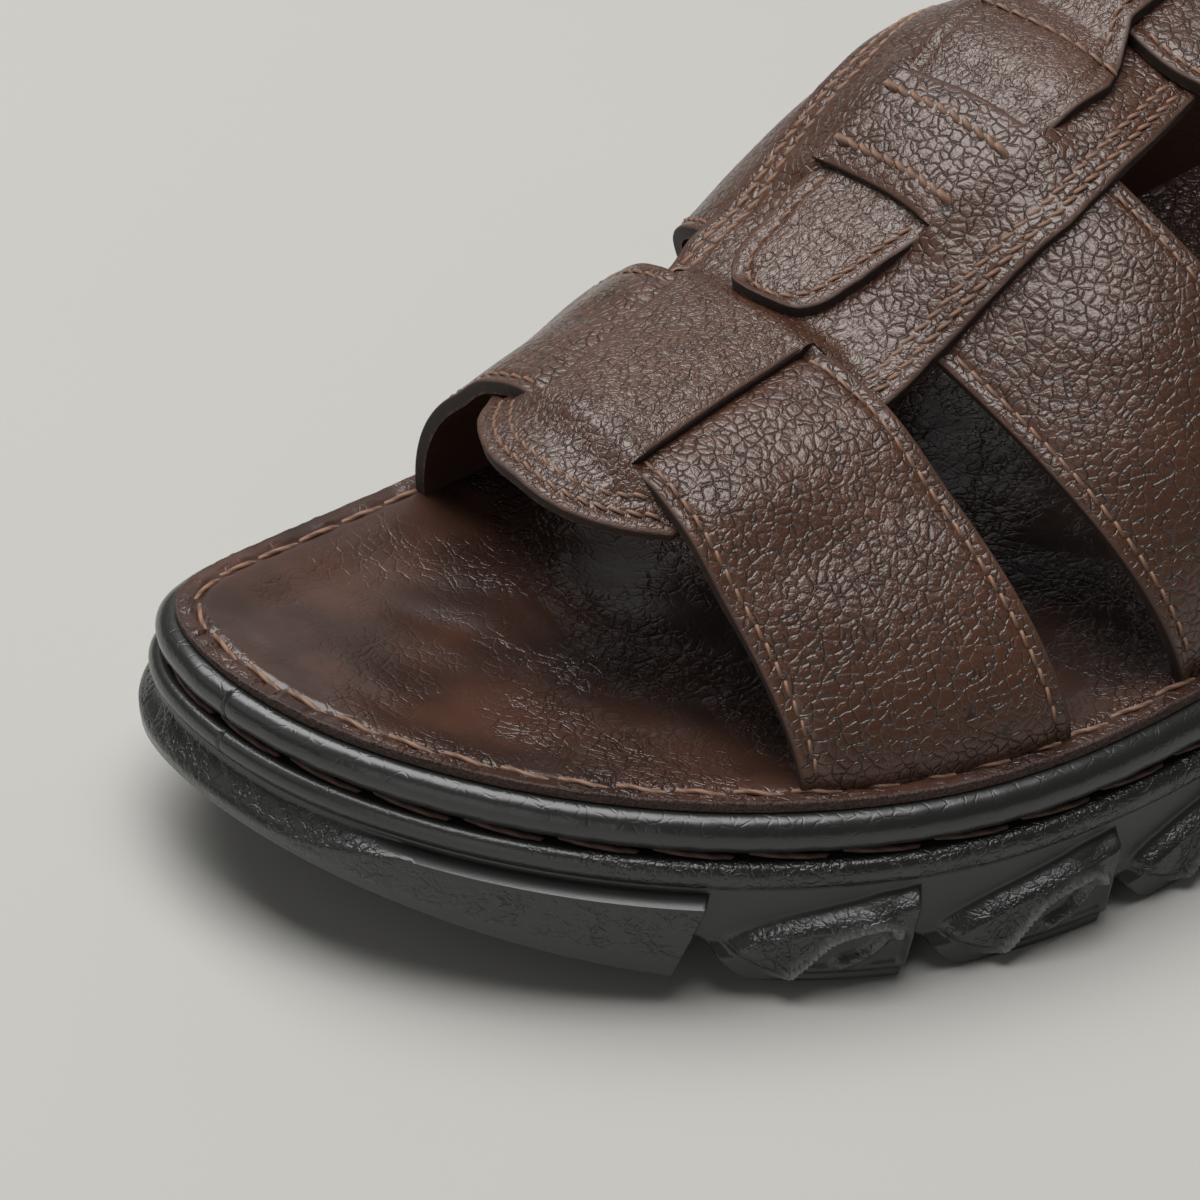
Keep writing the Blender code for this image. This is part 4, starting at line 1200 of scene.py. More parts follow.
class SandalSizes(bpy.types.PropertyGroup):
    """Sizes that a maker would change."""

    leather: bpy.props.FloatProperty(
        name="Leather", description="Thickness of the upper's leather", default=0.0022, unit="LENGTH")
    grain: bpy.props.FloatProperty(
        name="Grain", description="Size of one pebble of the leather's grain", unit="LENGTH",
        default=0.00158)
    stitch: bpy.props.FloatProperty(
        name="Stitch", description="Length of one edge stitch", default=0.0027, unit="LENGTH")
    margin: bpy.props.FloatProperty(
        name="Margin", description="Edge to the first row of stitches", default=0.0022, unit="LENGTH")
    row_gap: bpy.props.FloatProperty(
        name="Row gap", description="Gap between double rows of stitches", default=0.0021, unit="LENGTH")
    thread: bpy.props.FloatProperty(
        name="Thread", description="Radius of the sewing thread", default=0.0003, unit="LENGTH")


class SandalColours(bpy.types.PropertyGroup):
    """Colours of the finished pieces."""

    leather: bpy.props.FloatVectorProperty(
        name="Leather", description="Dark tone of the upper", subtype="COLOR",
        default=(0.066, 0.0272, 0.0148))
    leather_light: bpy.props.FloatVectorProperty(
        name="Light leather", description="Light tone of the upper", subtype="COLOR",
        default=(0.088, 0.0372, 0.0204))
    edge: bpy.props.FloatVectorProperty(
        name="Painted edge", description="Paint on the cut edges", subtype="COLOR",
        default=(0.025, 0.015, 0.012))
    insole: bpy.props.FloatVectorProperty(
        name="Insole", description="Leather of the insole", subtype="COLOR", default=(0.069, 0.0312, 0.0212))
    cut_edge: bpy.props.FloatVectorProperty(
        name="Insole edge", description="Raw cut edge of the insole", subtype="COLOR",
        default=(0.063, 0.0336, 0.0252))
    bead: bpy.props.FloatVectorProperty(
        name="Bead", description="Round bead of the welt", subtype="COLOR", default=(0.018, 0.0185, 0.0175))
    rubber: bpy.props.FloatVectorProperty(
        name="Rubber", description="Moulded outsole", subtype="COLOR", default=(0.019, 0.0195, 0.018))
    thread: bpy.props.FloatVectorProperty(
        name="Thread", description="Sewing thread", subtype="COLOR", default=(0.275, 0.158, 0.107))
    groove_thread: bpy.props.FloatVectorProperty(
        name="Groove thread", description="Thread in the welt's groove", subtype="COLOR",
        default=(0.068, 0.036, 0.027))


class StageLook(bpy.types.PropertyGroup):
    """Floor and light."""

    floor: bpy.props.FloatVectorProperty(
        name="Floor", description="Colour of the floor", subtype="COLOR", default=(0.50, 0.4935, 0.466))
    key: bpy.props.FloatProperty(
        name="Key light", description="Power of the large soft light overhead", default=20.6, unit="POWER")
    front: bpy.props.FloatProperty(
        name="Front light", description="Power of the low soft light before the outer side", unit="POWER",
        default=1.5)
    fill: bpy.props.FloatProperty(
        name="Fill light", description="Power of the low soft light before the toe", unit="POWER",
        default=1.0)
    back: bpy.props.FloatProperty(
        name="Back light", description="Power of the low soft light behind the inner side", unit="POWER",
        default=1.0)
    sky: bpy.props.FloatProperty(
        name="Surround", description="Strength of the even light all round", default=0.06)


def strap_piece(scene, name, lines, low_of, stitch_spans, threads):
    """One strap over the last: rows go round the foot, columns from its front to its rear line.

    The lower face lies at `low_of` over the last, the upper one leather above it less the drop at
    the edges. Stitches follow both edges inside the given spans of girth places.
    """
    sizes = scene.sandal_sizes
    thick = sizes.leather / MM
    margin = sizes.margin / MM
    dense_girth = np.linspace(-STRAP_END, STRAP_END, 1200)
    run = run_length(last_point(*between(lines, dense_girth, 0.5)))
    girth = np.interp(np.linspace(0.0, run[-1], 190), run, dense_girth)[:, None]
    share = both_ends(64)[None, :]
    back, places = between(lines, girth, share)
    bare = last_point(back, places)
    width = np.linalg.norm(np.diff(bare, axis=1), axis=-1).sum(axis=1)[:, None]
    gap = np.minimum(share, 1.0 - share) * width
    low = low_of(back, places)
    high = low + thick - edge_drop(gap, (margin,), thick) + undulate(bare, HIDE_UNEVEN)
    piece = Piece()
    piece.slab(placed(over_last(back, places, low)), placed(over_last(back, places, high)), ALL_SIDES,
               edge=np.minimum(gap, EDGE_REACH), grain=1.0)
    piece.make(name, leather_material(scene), "upper_leather", ("upper",))
    for side in (0.0, 1.0):
        for first, last in stitch_spans:
            line_girth = np.linspace(first, last, 260)
            line_width = np.interp(line_girth, girth[:, 0], width[:, 0])
            line_share = np.abs(side - margin / line_width)
            line_back, line_girth = between(lines, line_girth, line_share)
            line_high = low_of(line_back, line_girth) + thick - STITCH_SINK
            threads.row(*surface_run(line_back, line_girth, line_high), sizes.stitch / MM)


def strap_one_low(back, girth):
    """Strap 1 lies on the saddle's wings, dips under the over-band and comes down at the sides."""
    over_wing = smooth((off_band(back, girth) + BAND_TUCK) / BAND_FADE)
    lift = BAND_LIFT - STRAP_1_CLEAR - WING_SINK * (girth < 0.0)
    return lift * over_wing * smooth((1.0 + STRAP_1_DOWN - np.abs(girth)) / STRAP_1_DOWN)


def strap_two_low(back, girth):
    """Strap 2 lies on the last and runs under the saddle."""
    return np.zeros(np.broadcast(back, girth).shape)


def strap_three_low(back, girth):
    """Strap 3 lies over the saddle's rear end and comes down at the sides."""
    sink = 1.0 - STRAP_3_SINK * smooth((back - STRAP_3_SINK_START) / STRAP_3_SINK_RUN)
    return STRAP_3_LIFT * sink * smooth((1.0 + STRAP_3_DOWN - np.abs(girth)) / STRAP_3_DOWN)


class SANDAL_OT_straps(bpy.types.Operator):
    """Make the three straps across the foot with a stitched row along each edge"""

    bl_idname = "sandal.straps"
    bl_label = "Straps"

    def execute(self, context):
        scene = context.scene
        threads = Threads(scene.sandal_sizes.thread / MM)
        inner, outer = strip_edges(BAND_MIDDLE)
        straps = (
            # name, line, lower face, girth places where the stitches stop at the inner and outer side
            ("strap_1", "strap 1", strap_one_low, inner - 0.03, outer + 0.03),
            ("strap_2", "strap 2", strap_two_low, -1.02, 1.02),
            ("strap_3", "strap 3", strap_three_low, -0.6, 0.5),
        )
        for name, line, low_of, inner_stop, outer_stop in straps:
            spans = ((-STRAP_STITCH_END, inner_stop), (outer_stop, STRAP_STITCH_END))
            strap_piece(scene, name, (line + " front", line + " rear"), low_of, spans, threads)
        threads.make("strap_stitches", thread_material(scene), "upper_leather")
        return {"FINISHED"}


SADDLE_STITCH_END = 138.5
BAR_STITCH_SINK = 0.12
BAR_STITCHES = (
    # slit, distance behind it at the row's inner end, at its outer end
    ("slit 2", 3.0, 3.2),
    ("slit 1", -3.0, -4.2),
)


def saddle_rows(sizes):
    """Distances of the saddle's two rows of stitches from its edge."""
    return (sizes.margin / MM, (sizes.margin + sizes.row_gap) / MM)


class SANDAL_OT_saddle(bpy.types.Operator):
    """Make the saddle along the top of the foot: tab, over-band, bar between slits and double stitching"""

    bl_idname = "sandal.saddle"
    bl_label = "Saddle"

    def execute(self, context):
        scene = context.scene
        sizes = scene.sandal_sizes
        thick = sizes.leather / MM
        outline = saddle_outline()
        piece = Piece()
        for zone, front, rear, rows, crowd in ZONES:
            for part in ("left", "centre", "right"):
                back, girth = saddle_block((front, rear), rows, crowd, part)
                low = saddle_low(back, girth, zone, part == "centre")
                bare = over_last(back, girth, SADDLE_LEVEL)
                gap = distance_to(bare, outline)
                slit = slit_distance(zone, part, back, girth)
                high = low + thick - edge_drop(gap, saddle_rows(sizes), thick)
                high = high - edge_drop(slit, (), thick) + pucker(back, girth) + undulate(bare, 0.15)
                pebbled = smooth((back - PEBBLE_START) / PEBBLE_RUN)
                edge = np.minimum(np.minimum(gap, slit), EDGE_REACH)
                piece.slab(placed(over_last(back, girth, low)), placed(over_last(back, girth, high)),
                           saddle_walls(zone, part), edge=edge, grain=pebbled)
        piece.make("saddle", leather_material(scene), "upper_leather", ("upper",))
        threads = Threads(sizes.thread / MM)
        self.stitch(threads, sizes)
        threads.make("saddle_stitches", thread_material(scene), "upper_leather")
        return {"FINISHED"}

    def stitch(self, threads, sizes):
        """Double rows along the tab and both long edges, single rows with tacked ends on the bar."""
        thick = sizes.leather / MM
        pitch = sizes.stitch / MM * CLOSE_STITCH
        for inset in saddle_rows(sizes):
            across = np.linspace(-1.0, 1.0, 400)
            back = cross_line("tab front", across)
            out = saddle_middle(back) + across * saddle_half(back)
            tangent = unit(np.gradient(np.stack([out, back], axis=-1), axis=0))
            back, out = back + tangent[:, 0] * inset, out - tangent[:, 1] * inset
            girth = saddle_girth(back, out)
            seen = back < cross_line("strap 1 front", girth) - 0.4
            back, girth = back[seen], girth[seen]
            height = saddle_low(back, girth, "tab", False) + thick - STITCH_SINK
            threads.row(*surface_run(back, girth, height), pitch, fill=1.0, slant=0.28)
            for sign in (-1.0, 1.0):
                back = np.linspace(cross_line("strap 1 rear", sign) + 1.0, SADDLE_STITCH_END, 300)
                girth = sign * (1.0 - inset / saddle_half(back) / self.slope(back, sign))
                height = saddle_low(back, girth, "behind", False) + thick - STITCH_SINK
                threads.row(*surface_run(back, girth, height), pitch, fill=1.05, slant=0.34, thick=1.15)
        for line, left, right in BAR_STITCHES:
            inner, outer = strip_edges(cross_line(line, 0.0) + left)
            girth = np.linspace(inner + 0.06, outer - 0.02, 200)
            back = cross_line(line, girth) + left + (right - left) * np.linspace(0.0, 1.0, 200)
            height = saddle_low(back, girth, "bar", True) + thick - BAR_STITCH_SINK
            points, normals = surface_run(back, girth, height)
            threads.row(points, normals, pitch, fill=1.1, slant=0.45, thick=1.6)
            for near in (slice(0, 8), slice(-8, None)):
                threads.row(points[near] + normals[near] * 0.2, normals[near], 3.2, fill=1.0, thick=1.9)

    def slope(self, back, sign):
        """Length over the leather of one millimetre of width near the saddle's edge."""
        low = last_point(back, np.full(back.shape, sign * 0.8))
        high = last_point(back, np.full(back.shape, sign))
        return np.linalg.norm(high - low, axis=-1) / (0.2 * saddle_half(back))


def strip_grid(table, rounded_front, start, end, rows):
    """Distances back and girth places of a strip with one rounded end."""
    share = np.linspace(0.0, 1.0, rows)
    share = share**2 if rounded_front else 1.0 - (1.0 - share)**2
    back = (start + (end - start) * share)[:, None]
    from_round = (back - start) if rounded_front else (end - back)
    near = 1.0 - np.clip(from_round / STRIP_ROUND, 0.0, 1.0)
    full = np.clip(1.0 - near**STRIP_BOW, 0.0, 1.0)**(1.0 / STRIP_BOW)
    half = np.interp(back, *column(table, 2)) * full
    out = np.interp(back, *column(table, 1)) + half * (2.0 * both_ends(56)[None, :] - 1.0)
    return np.broadcast_to(back, out.shape), saddle_girth(back, out), out


def tab_low(back, girth):
    """The front tab lies on the saddle and dips into slit 2."""
    slit = cross_line("slit 2", girth)
    dip = STRIP_DIP * smooth((back - slit + STRIP_DIP_RUN) / STRIP_DIP_RUN)
    return saddle_low(back, girth, "under", True) + SADDLE_THICK - dip


def rear_low(back, girth):
    """The rear run comes out of slit 1, lies on the saddle and climbs over strap 3."""
    slit = cross_line("slit 1", girth)
    dip = STRIP_DIP * smooth((slit + STRIP_DIP_RUN - back) / STRIP_DIP_RUN)
    on_saddle = saddle_low(back, girth, "under", True) + SADDLE_THICK - dip
    on_strap = strap_three_low(back, girth) + SADDLE_THICK
    climb = smooth((back - cross_line("strap 3 front", girth) + 6.0) / 8.0)
    return on_saddle * (1.0 - climb) + on_strap * climb


def strip_rim(grid, rounded_front):
    """Points along both long edges of a strip's grid, joined at its rounded end."""
    left, right = grid[:, 0], grid[:, -1]
    if rounded_front:
        return np.concatenate([left[::-1], right])
    return np.concatenate([left, right[::-1]])


class SANDAL_OT_centre_strip(bpy.types.Operator):
    """Make the strip threaded through the saddle's slits: front tab and rear run"""

    bl_idname = "sandal.centre_strip"
    bl_label = "Centre strip"

    def execute(self, context):
        scene = context.scene
        sizes = scene.sandal_sizes
        threads = Threads(sizes.thread / MM)
        tab_span = (STRIP_TIP, STRIP_TAB_END)
        rear_span = (STRIP_REAR_START, STRIP_END)
        self.strip(scene, "strip_front_tab", STRIP_TAB, True, tab_span, tab_low, threads)
        self.strip(scene, "strip_rear_run", STRIP_REAR, False, rear_span, rear_low, threads)
        inner, outer = strip_edges(STRIP_CROSS_BACK)
        girth = np.linspace(inner + 0.05, outer - 0.03, 200)
        back = cross_line("slit 1", girth) + STRIP_CROSS_STITCH
        height = rear_low(back, girth) + STRIP_THICK - 0.15
        threads.row(*surface_run(back, girth, height), sizes.stitch / MM)
        threads.make("strip_stitches", thread_material(scene), "upper_leather")
        return {"FINISHED"}

    def strip(self, scene, name, table, rounded_front, span, low_of, threads):
        """One strip: a slab with a quarter-round edge and a row of stitches round its free end."""
        sizes = scene.sandal_sizes
        back, girth, out = strip_grid(table, rounded_front, *span, 84)
        low = low_of(back, girth)
        bare = over_last(back, girth, low)
        gap = distance_to(bare, dense(strip_rim(bare, rounded_front), 0.25))
        high = low + STRIP_THICK - edge_drop(gap, (STRIP_STITCH_IN,), STRIP_THICK) + undulate(bare, 0.12)
        if not rounded_front:
            high = high - 0.3 * bell(back - cross_line("slit 1", girth) - STRIP_CROSS_STITCH, 0.7)
        piece = Piece()
        piece.slab(placed(bare), placed(over_last(back, girth, high)), ALL_SIDES,
                   edge=np.minimum(gap, EDGE_REACH), grain=STRIP_GRAIN)
        piece.make(name, leather_material(scene), "upper_leather", ("upper",))
        loop = dense(strip_rim(np.stack([out, back], axis=-1), rounded_front), 0.4)
        tangent = unit(np.gradient(loop, axis=0))
        turn = 1.0 if rounded_front else -1.0
        line = loop + turn * STRIP_STITCH_IN * np.stack([-tangent[:, 1], tangent[:, 0]], axis=-1)
        line_back = line[:, 1]
        line_girth = saddle_girth(line_back, line[:, 0])
        if rounded_front:
            seen = line_back < cross_line("slit 2", line_girth) - 0.8
        else:
            seen = line_back > cross_line("slit 1", line_girth) + STRIP_STITCH_START
        line_back, line_girth = line_back[seen], line_girth[seen]
        height = low_of(line_back, line_girth) + STRIP_THICK - STITCH_SINK
        threads.row(*surface_run(line_back, line_girth, height), sizes.stitch / MM * CLOSE_STITCH)


def heel_rim(share_up, turns):
    """Line of the heel strap's inner face at a share of its height, from outer to inner end.

    Half superellipses start at strap 3's rear edge, fill out to the heel's half width and meet at
    the back of the heel.
    """
    girth = HEEL_PLACES[1] + (HEEL_PLACES[0] - HEEL_PLACES[1]) * share_up
    cosine = np.cos(turns)
    sine = np.clip(np.sin(turns), 0.0, 1.0)
    power = 2.0 / HEEL_STRAP_ROUND
    ends = [last_point(cross_line("strap 3 rear", girth * sign) - 1.0, girth * sign) for sign in (1.0, -1.0)]
    outer = cosine >= 0.0
    end = np.where(outer[..., None], ends[0], ends[1])
    rear = HEEL_STRAP_BACK - HEEL_STRAP_LEAN * share_up
    high = HEEL_STRAP_LOW_Z + (HEEL_STRAP_TOP_Z - HEEL_STRAP_LOW_Z) * share_up
    fill = smooth(sine / HEEL_STRAP_FILL)
    half = np.where(outer, HEEL_STRAP_HALF, -HEEL_STRAP_HALF)
    across = (end[..., 0] - HEEL_STRAP_MIDDLE) * (1.0 - fill) + half * fill
    out = HEEL_STRAP_MIDDLE + across * np.abs(cosine)**power
    back = end[..., 1] + (rear - end[..., 1]) * sine**power
    height = end[..., 2] + (high - end[..., 2]) * smooth(sine)
    return np.stack([out, back, height], axis=-1)


class SANDAL_OT_heel_strap(bpy.types.Operator):
    """Make the strap round the back of the heel with a stitched row along each edge"""

    bl_idname = "sandal.heel_strap"
    bl_label = "Heel strap"

    def execute(self, context):
        scene = context.scene
        sizes = scene.sandal_sizes
        thick = sizes.leather / MM
        margin = sizes.margin / MM
        turns = np.pi * both_ends(260)[:, None]
        share = both_ends(52)[None, :]
        inner = heel_rim(*np.broadcast_arrays(share, turns))
        normal = unit(np.cross(np.gradient(inner, axis=0), np.gradient(inner, axis=1)))
        tuck = HEEL_TUCK * (1.0 - smooth(np.sin(turns) / HEEL_TUCK_RUN))
        inner = inner - normal * tuck[..., None]
        width = np.linalg.norm(np.diff(inner, axis=1), axis=-1).sum(axis=1)[:, None]
        gap = np.minimum(share, 1.0 - share) * width
        rise = thick - edge_drop(gap, (margin,), thick) + undulate(inner, HIDE_UNEVEN)
        outer = inner + normal * rise[..., None]
        piece = Piece()
        piece.slab(placed(inner), placed(outer), ALL_SIDES, edge=np.minimum(gap, EDGE_REACH), grain=1.0)
        piece.make("heel_strap", leather_material(scene), "upper_leather", ("upper",))
        threads = Threads(sizes.thread / MM)
        lower_half = gap[len(turns) // 2, :share.shape[1] // 2]
        row = int(np.argmin(np.abs(lower_half - margin)))
        for pick in (row, -1 - row):
            points, normals = outer[8:-8, pick], normal[8:-8, pick]
            threads.row(points - 0.05 * normals, normals, sizes.stitch / MM)
        threads.make("heel_strap_stitches", thread_material(scene), "upper_leather")
        return {"FINISHED"}


def crease(out, back):
    """Soft folds of the insole: each row of the table is a bell across its line, fading at its ends."""
    depth = np.zeros_like(out)
    for at_out, at_back, half, turn, width, size in INSOLE_CREASES:
        cosine, sine = np.cos(np.radians(turn)), np.sin(np.radians(turn))
        along = (out - at_out) * cosine + (back - at_back) * sine
        across = (back - at_back) * cosine - (out - at_out) * sine + 0.004 * along**2
        depth = depth + size * bell(across, width) * bell(along, half)
    return depth


class SANDAL_OT_insole(bpy.types.Operator):
    """Make the dished insole with its border, folds and stitched row"""

    bl_idname = "sandal.insole"
    bl_label = "Insole"

    def execute(self, context):
        scene = context.scene
        shares = both_ends(300)[1:-1]
        outer = EDGE.offset(EDGE.turn(shares, True), np.zeros(len(shares)))
        inner = EDGE.offset(EDGE.turn(shares, False), np.zeros(len(shares)))
        across = both_ends(130)
        plan = outer[:, None] + (inner - outer)[:, None] * across[None, :, None]
        out, back = plan[..., 0], plan[..., 1]
        ring = np.concatenate([EDGE.curve, np.zeros((len(EDGE.curve), 1))], axis=-1)
        flat = np.concatenate([plan, np.zeros(plan.shape[:2] + (1,))], axis=-1)
        gap = distance_to(flat, ring)
        dish = INSOLE_DISH + HEEL_CUP * smooth((back - HEEL_CUP_START) / HEEL_CUP_RUN)
        hollow = dish * (1.0 - np.abs(2.0 * across - 1.0)**3)
        ends = smooth(back / DISH_TOE_RUN) * smooth((INSOLE_LENGTH - back) / DISH_HEEL_RUN)
        top = seam_height(back) + SEAT_GAP + INSOLE_LIP - hollow * ends
        top = top - BORDER_FALL * smooth(gap / BORDER_RUN)
        inner_side = 0.3 + 0.7 * smooth((15.0 - out) / 20.0)
        top = top - BORDER_EDGE_FALL * inner_side * (1.0 - smooth(gap / BORDER_EDGE_RUN))
        top = top - BORDER_GROOVE * bell(gap - BORDER_STITCH_IN, BORDER_GROOVE_WIDTH)
        top = top + BORDER_SWELL * bell(gap - BORDER_SWELL_IN, BORDER_SWELL_WIDTH)
        turns = 2.0 * np.pi * self.edge_run(plan) / BORDER_STITCH
        pleats = np.sin(turns) + 0.8 * np.sin(2.6 * turns + 0.8)
        top = top + PLEAT_DEPTH * pleats * bell(gap - PLEAT_IN, PLEAT_WIDTH)
        top = top + crease(out, back) * smooth((gap - 5.0) / 6.0)
        top = top - quarter_round(gap, INSOLE_ROUND)
        points = np.stack([out, back, top], axis=-1)
        points[..., 2] += undulate(points, INSOLE_UNEVEN) * smooth(gap / 8.0)
        low = seam_height(back) + SEAT_GAP - 0.1 - INSOLE_UNDER * smooth(gap / INSOLE_UNDER_RUN)
        piece = Piece()
        piece.slab(place(out, back, low), placed(points), ALL_SIDES,
                   edge=np.minimum(gap, EDGE_REACH), crumple=self.crumple(plan, gap))
        made = piece.make("insole_cover", insole_leather(scene), "insole_leather", ("insole",))
        self.stitch(scene, points, gap)
        return {"FINISHED"}

    def crumple(self, plan, gap):
        """How crumpled the leather is: little at the inner toe, most along the outer front."""
        from_toe = np.hypot(plan[..., 0] - SMOOTH_TOE[0], plan[..., 1] - SMOOTH_TOE[1])
        toe = smooth((from_toe - SMOOTH_TOE_RADIUS) / SMOOTH_TOE_RUN)
        rim = 1.0 - smooth((gap - 6.0) / 30.0)
        return 0.15 + 0.85 * toe * (0.4 + 0.6 * rim)

    def edge_run(self, plan):
        """Length along the insole's edge to the nearest point of it."""
        flat = plan.reshape(-1, 2)
        sample = EDGE.curve[::6]
        nearest = np.zeros(len(flat), int)
        best = np.full(len(flat), np.inf)
        for start in range(0, len(sample), 50):
            gap = ((flat[:, None] - sample[None, start:start + 50])**2).sum(axis=-1)
            pick = gap.argmin(axis=1)
            found = gap[np.arange(len(flat)), pick]
            better = found < best
            nearest[better] = pick[better] + start
            best = np.minimum(best, found)
        return EDGE.run[::6][nearest].reshape(plan.shape[:2])

    def stitch(self, scene, points, gap):
        """Long stitches along a line inside the border, seated in the groove."""
        turn = np.linspace(0.0, 1.0, 1600)[:-1]
        line = EDGE.offset(turn, np.full(len(turn), -BORDER_STITCH_IN))
        near = np.abs(gap - BORDER_STITCH_IN) < 1.2
        known = points[near]
        height = np.empty(len(line))
        for start in range(0, len(line), 100):
            away = ((line[start:start + 100, None] - known[None, :, :2])**2).sum(axis=-1)
            weight = 1.0 / (away + 0.05)**2
            height[start:start + 100] = (weight * known[:, 2]).sum(axis=1) / weight.sum(axis=1)
        run = np.stack([line[:, 0], line[:, 1], height], axis=-1)
        up = np.tile((0.0, 0.0, 1.0), (len(run), 1))
        threads = Threads(BORDER_THREAD_RADIUS)
        threads.row(run, up, BORDER_STITCH, fill=0.97, lift=0.55, slant=0.4)
        threads.make("insole_stitches", thread_material(scene), "insole_leather")


class SANDAL_OT_welt(bpy.types.Operator):
    """Make the round bead of the welt and the thread in the groove under it"""

    bl_idname = "sandal.welt"
    bl_label = "Welt"

    def execute(self, context):
        scene = context.scene
        shares = with_joint(np.linspace(0.0, 1.0, 321))
        angles = np.radians(np.linspace(BEAD_SWEEP, -BEAD_SWEEP, 26))
        outs = [BEAD_CENTRE_OUT + BEAD_RADIUS * np.cos(a) for a in angles] + [WELT_INNER, WELT_INNER]
        rises = [BEAD_RADIUS * (np.sin(a) - 1.0) for a in angles] + [-2.0 * BEAD_RADIUS, 0.0]
        joint = joint_notch(shares, BEAD_JOINT_DEPTH)
        rows = []
        for out, rise in zip(outs, rises):
            plan = EDGE.ring(shares, out)
            swell = BEAD_UNEVEN * np.sin(plan[:, 1] * 0.9 + plan[:, 0] * 0.7)
            plan = EDGE.ring(shares, out + swell - joint * (out > 0.0))
            rows.append(place(plan[:, 0], plan[:, 1], seam_height(plan[:, 1]) + rise))
        piece = Piece()
        piece.patch(np.stack(rows), loop_rows=True, loop_columns=True)
        piece.make("welt_bead", bead_rubber(scene), "welt_bead", ("welt",), sharp=60.0)
        turn = np.linspace(0.0, 1.0, 3000)
        plan = EDGE.offset(turn, np.full(len(turn), GROOVE_THREAD_OUT))
        run = np.stack([plan[:, 0], plan[:, 1], seam_height(plan[:, 1]) - GROOVE_THREAD_DROP], axis=-1)
        far = EDGE.offset(turn, np.full(len(turn), GROOVE_THREAD_OUT + 1.0))
        up = np.stack([far[:, 0] - plan[:, 0], far[:, 1] - plan[:, 1], np.full(len(turn), 0.15)], axis=-1)
        threads = Threads(GROOVE_THREAD_RADIUS)
        threads.row(run, up, GROOVE_STITCH, fill=0.94, lift=0.35, slant=0.45)
        colour = scene.sandal_colours.groove_thread
        threads.make("groove_stitches", twisted_thread("groove_thread", colour), "welt_bead")
        return {"FINISHED"}


def with_joint(shares):
    """Shares along a side with a few more close round the joint."""
    close = (JOINT_RUN + np.linspace(-0.7, 0.7, 9)) / EDGE.lengths[0]
    far = np.abs(shares * EDGE.lengths[0] - JOINT_RUN) > 0.85
    return np.sort(np.concatenate([shares[far], close]))


def joint_notch(shares, depth):
    """Thin notch where the bead's two ends meet on the outer toe: a bell along the edge, `depth` high."""
    along = np.concatenate([shares * EDGE.lengths[0], np.full(len(shares) - 2, np.inf)])
    return depth * bell(along - JOINT_RUN, JOINT_WIDTH)


def lug_columns():
    """Columns of the outsole's side: share of a side, amount of lug and place along the lug.

    The place is below 0 on the plain lugs of toe and heel.
    """
    side = EDGE.lengths[0]
    ramp = ((0.0, 0.0), (0.25, 0.5), (0.55, 0.9), (0.9, 1.0))
    columns = [(share, 1.0, -1.0) for share in with_joint(np.linspace(0.0, TOE_END - 1.3 / side, 110))]
    columns += [(TOE_END - step / side, amount, -1.0) for step, amount in ramp[::-1]]
    for lug in range(LUG_COUNT):
        front = LUG_FIRST + lug * LUG_PITCH
        inside = np.linspace(0.0, 1.0 - 1.3 / side / LUG_SHARE, 58)
        columns += [(front + LUG_SHARE * along, 1.0, along) for along in inside]
        for step, amount in ramp[::-1]:
            columns.append((front + LUG_SHARE - step / side, amount, 1.0 - step / side / LUG_SHARE))
    front = LUG_FIRST + LUG_COUNT * LUG_PITCH
    columns += [(front + step / side, amount, -1.0) for step, amount in ramp]
    columns += [(share, 1.0, -1.0) for share in np.linspace(front + 1.5 / side, 1.0, 44)]
    return np.array(columns).T


def lug_line(table):
    """A line on a lug's face, in millimetres, from rows of shares of its length and height."""
    rows = np.array(table)
    knots = np.linspace(0.0, 1.0, len(rows))
    at = np.linspace(0.0, 1.0, 220)
    size = (LUG_SHARE * EDGE.lengths[0], LUG_HEIGHT)
    return np.stack([natural_curve(knots, rows[:, k], at) * size[k] for k in range(2)], axis=-1)


def leaf_edges(along):
    """Upper and lower edge of a lug's leaf: square roots of the distance from its tip."""
    tip_along, tip_up = LEAF_TIP
    share = np.clip((along - tip_along) / (1.0 - tip_along), 0.0, 1.0)
    low = tip_up - (tip_up - LEAF_ROOT[1]) * np.sqrt(np.clip(share / LEAF_ROOT[0], 0.0, 1.0))
    return tip_up + (1.0 - tip_up) * np.sqrt(share), low


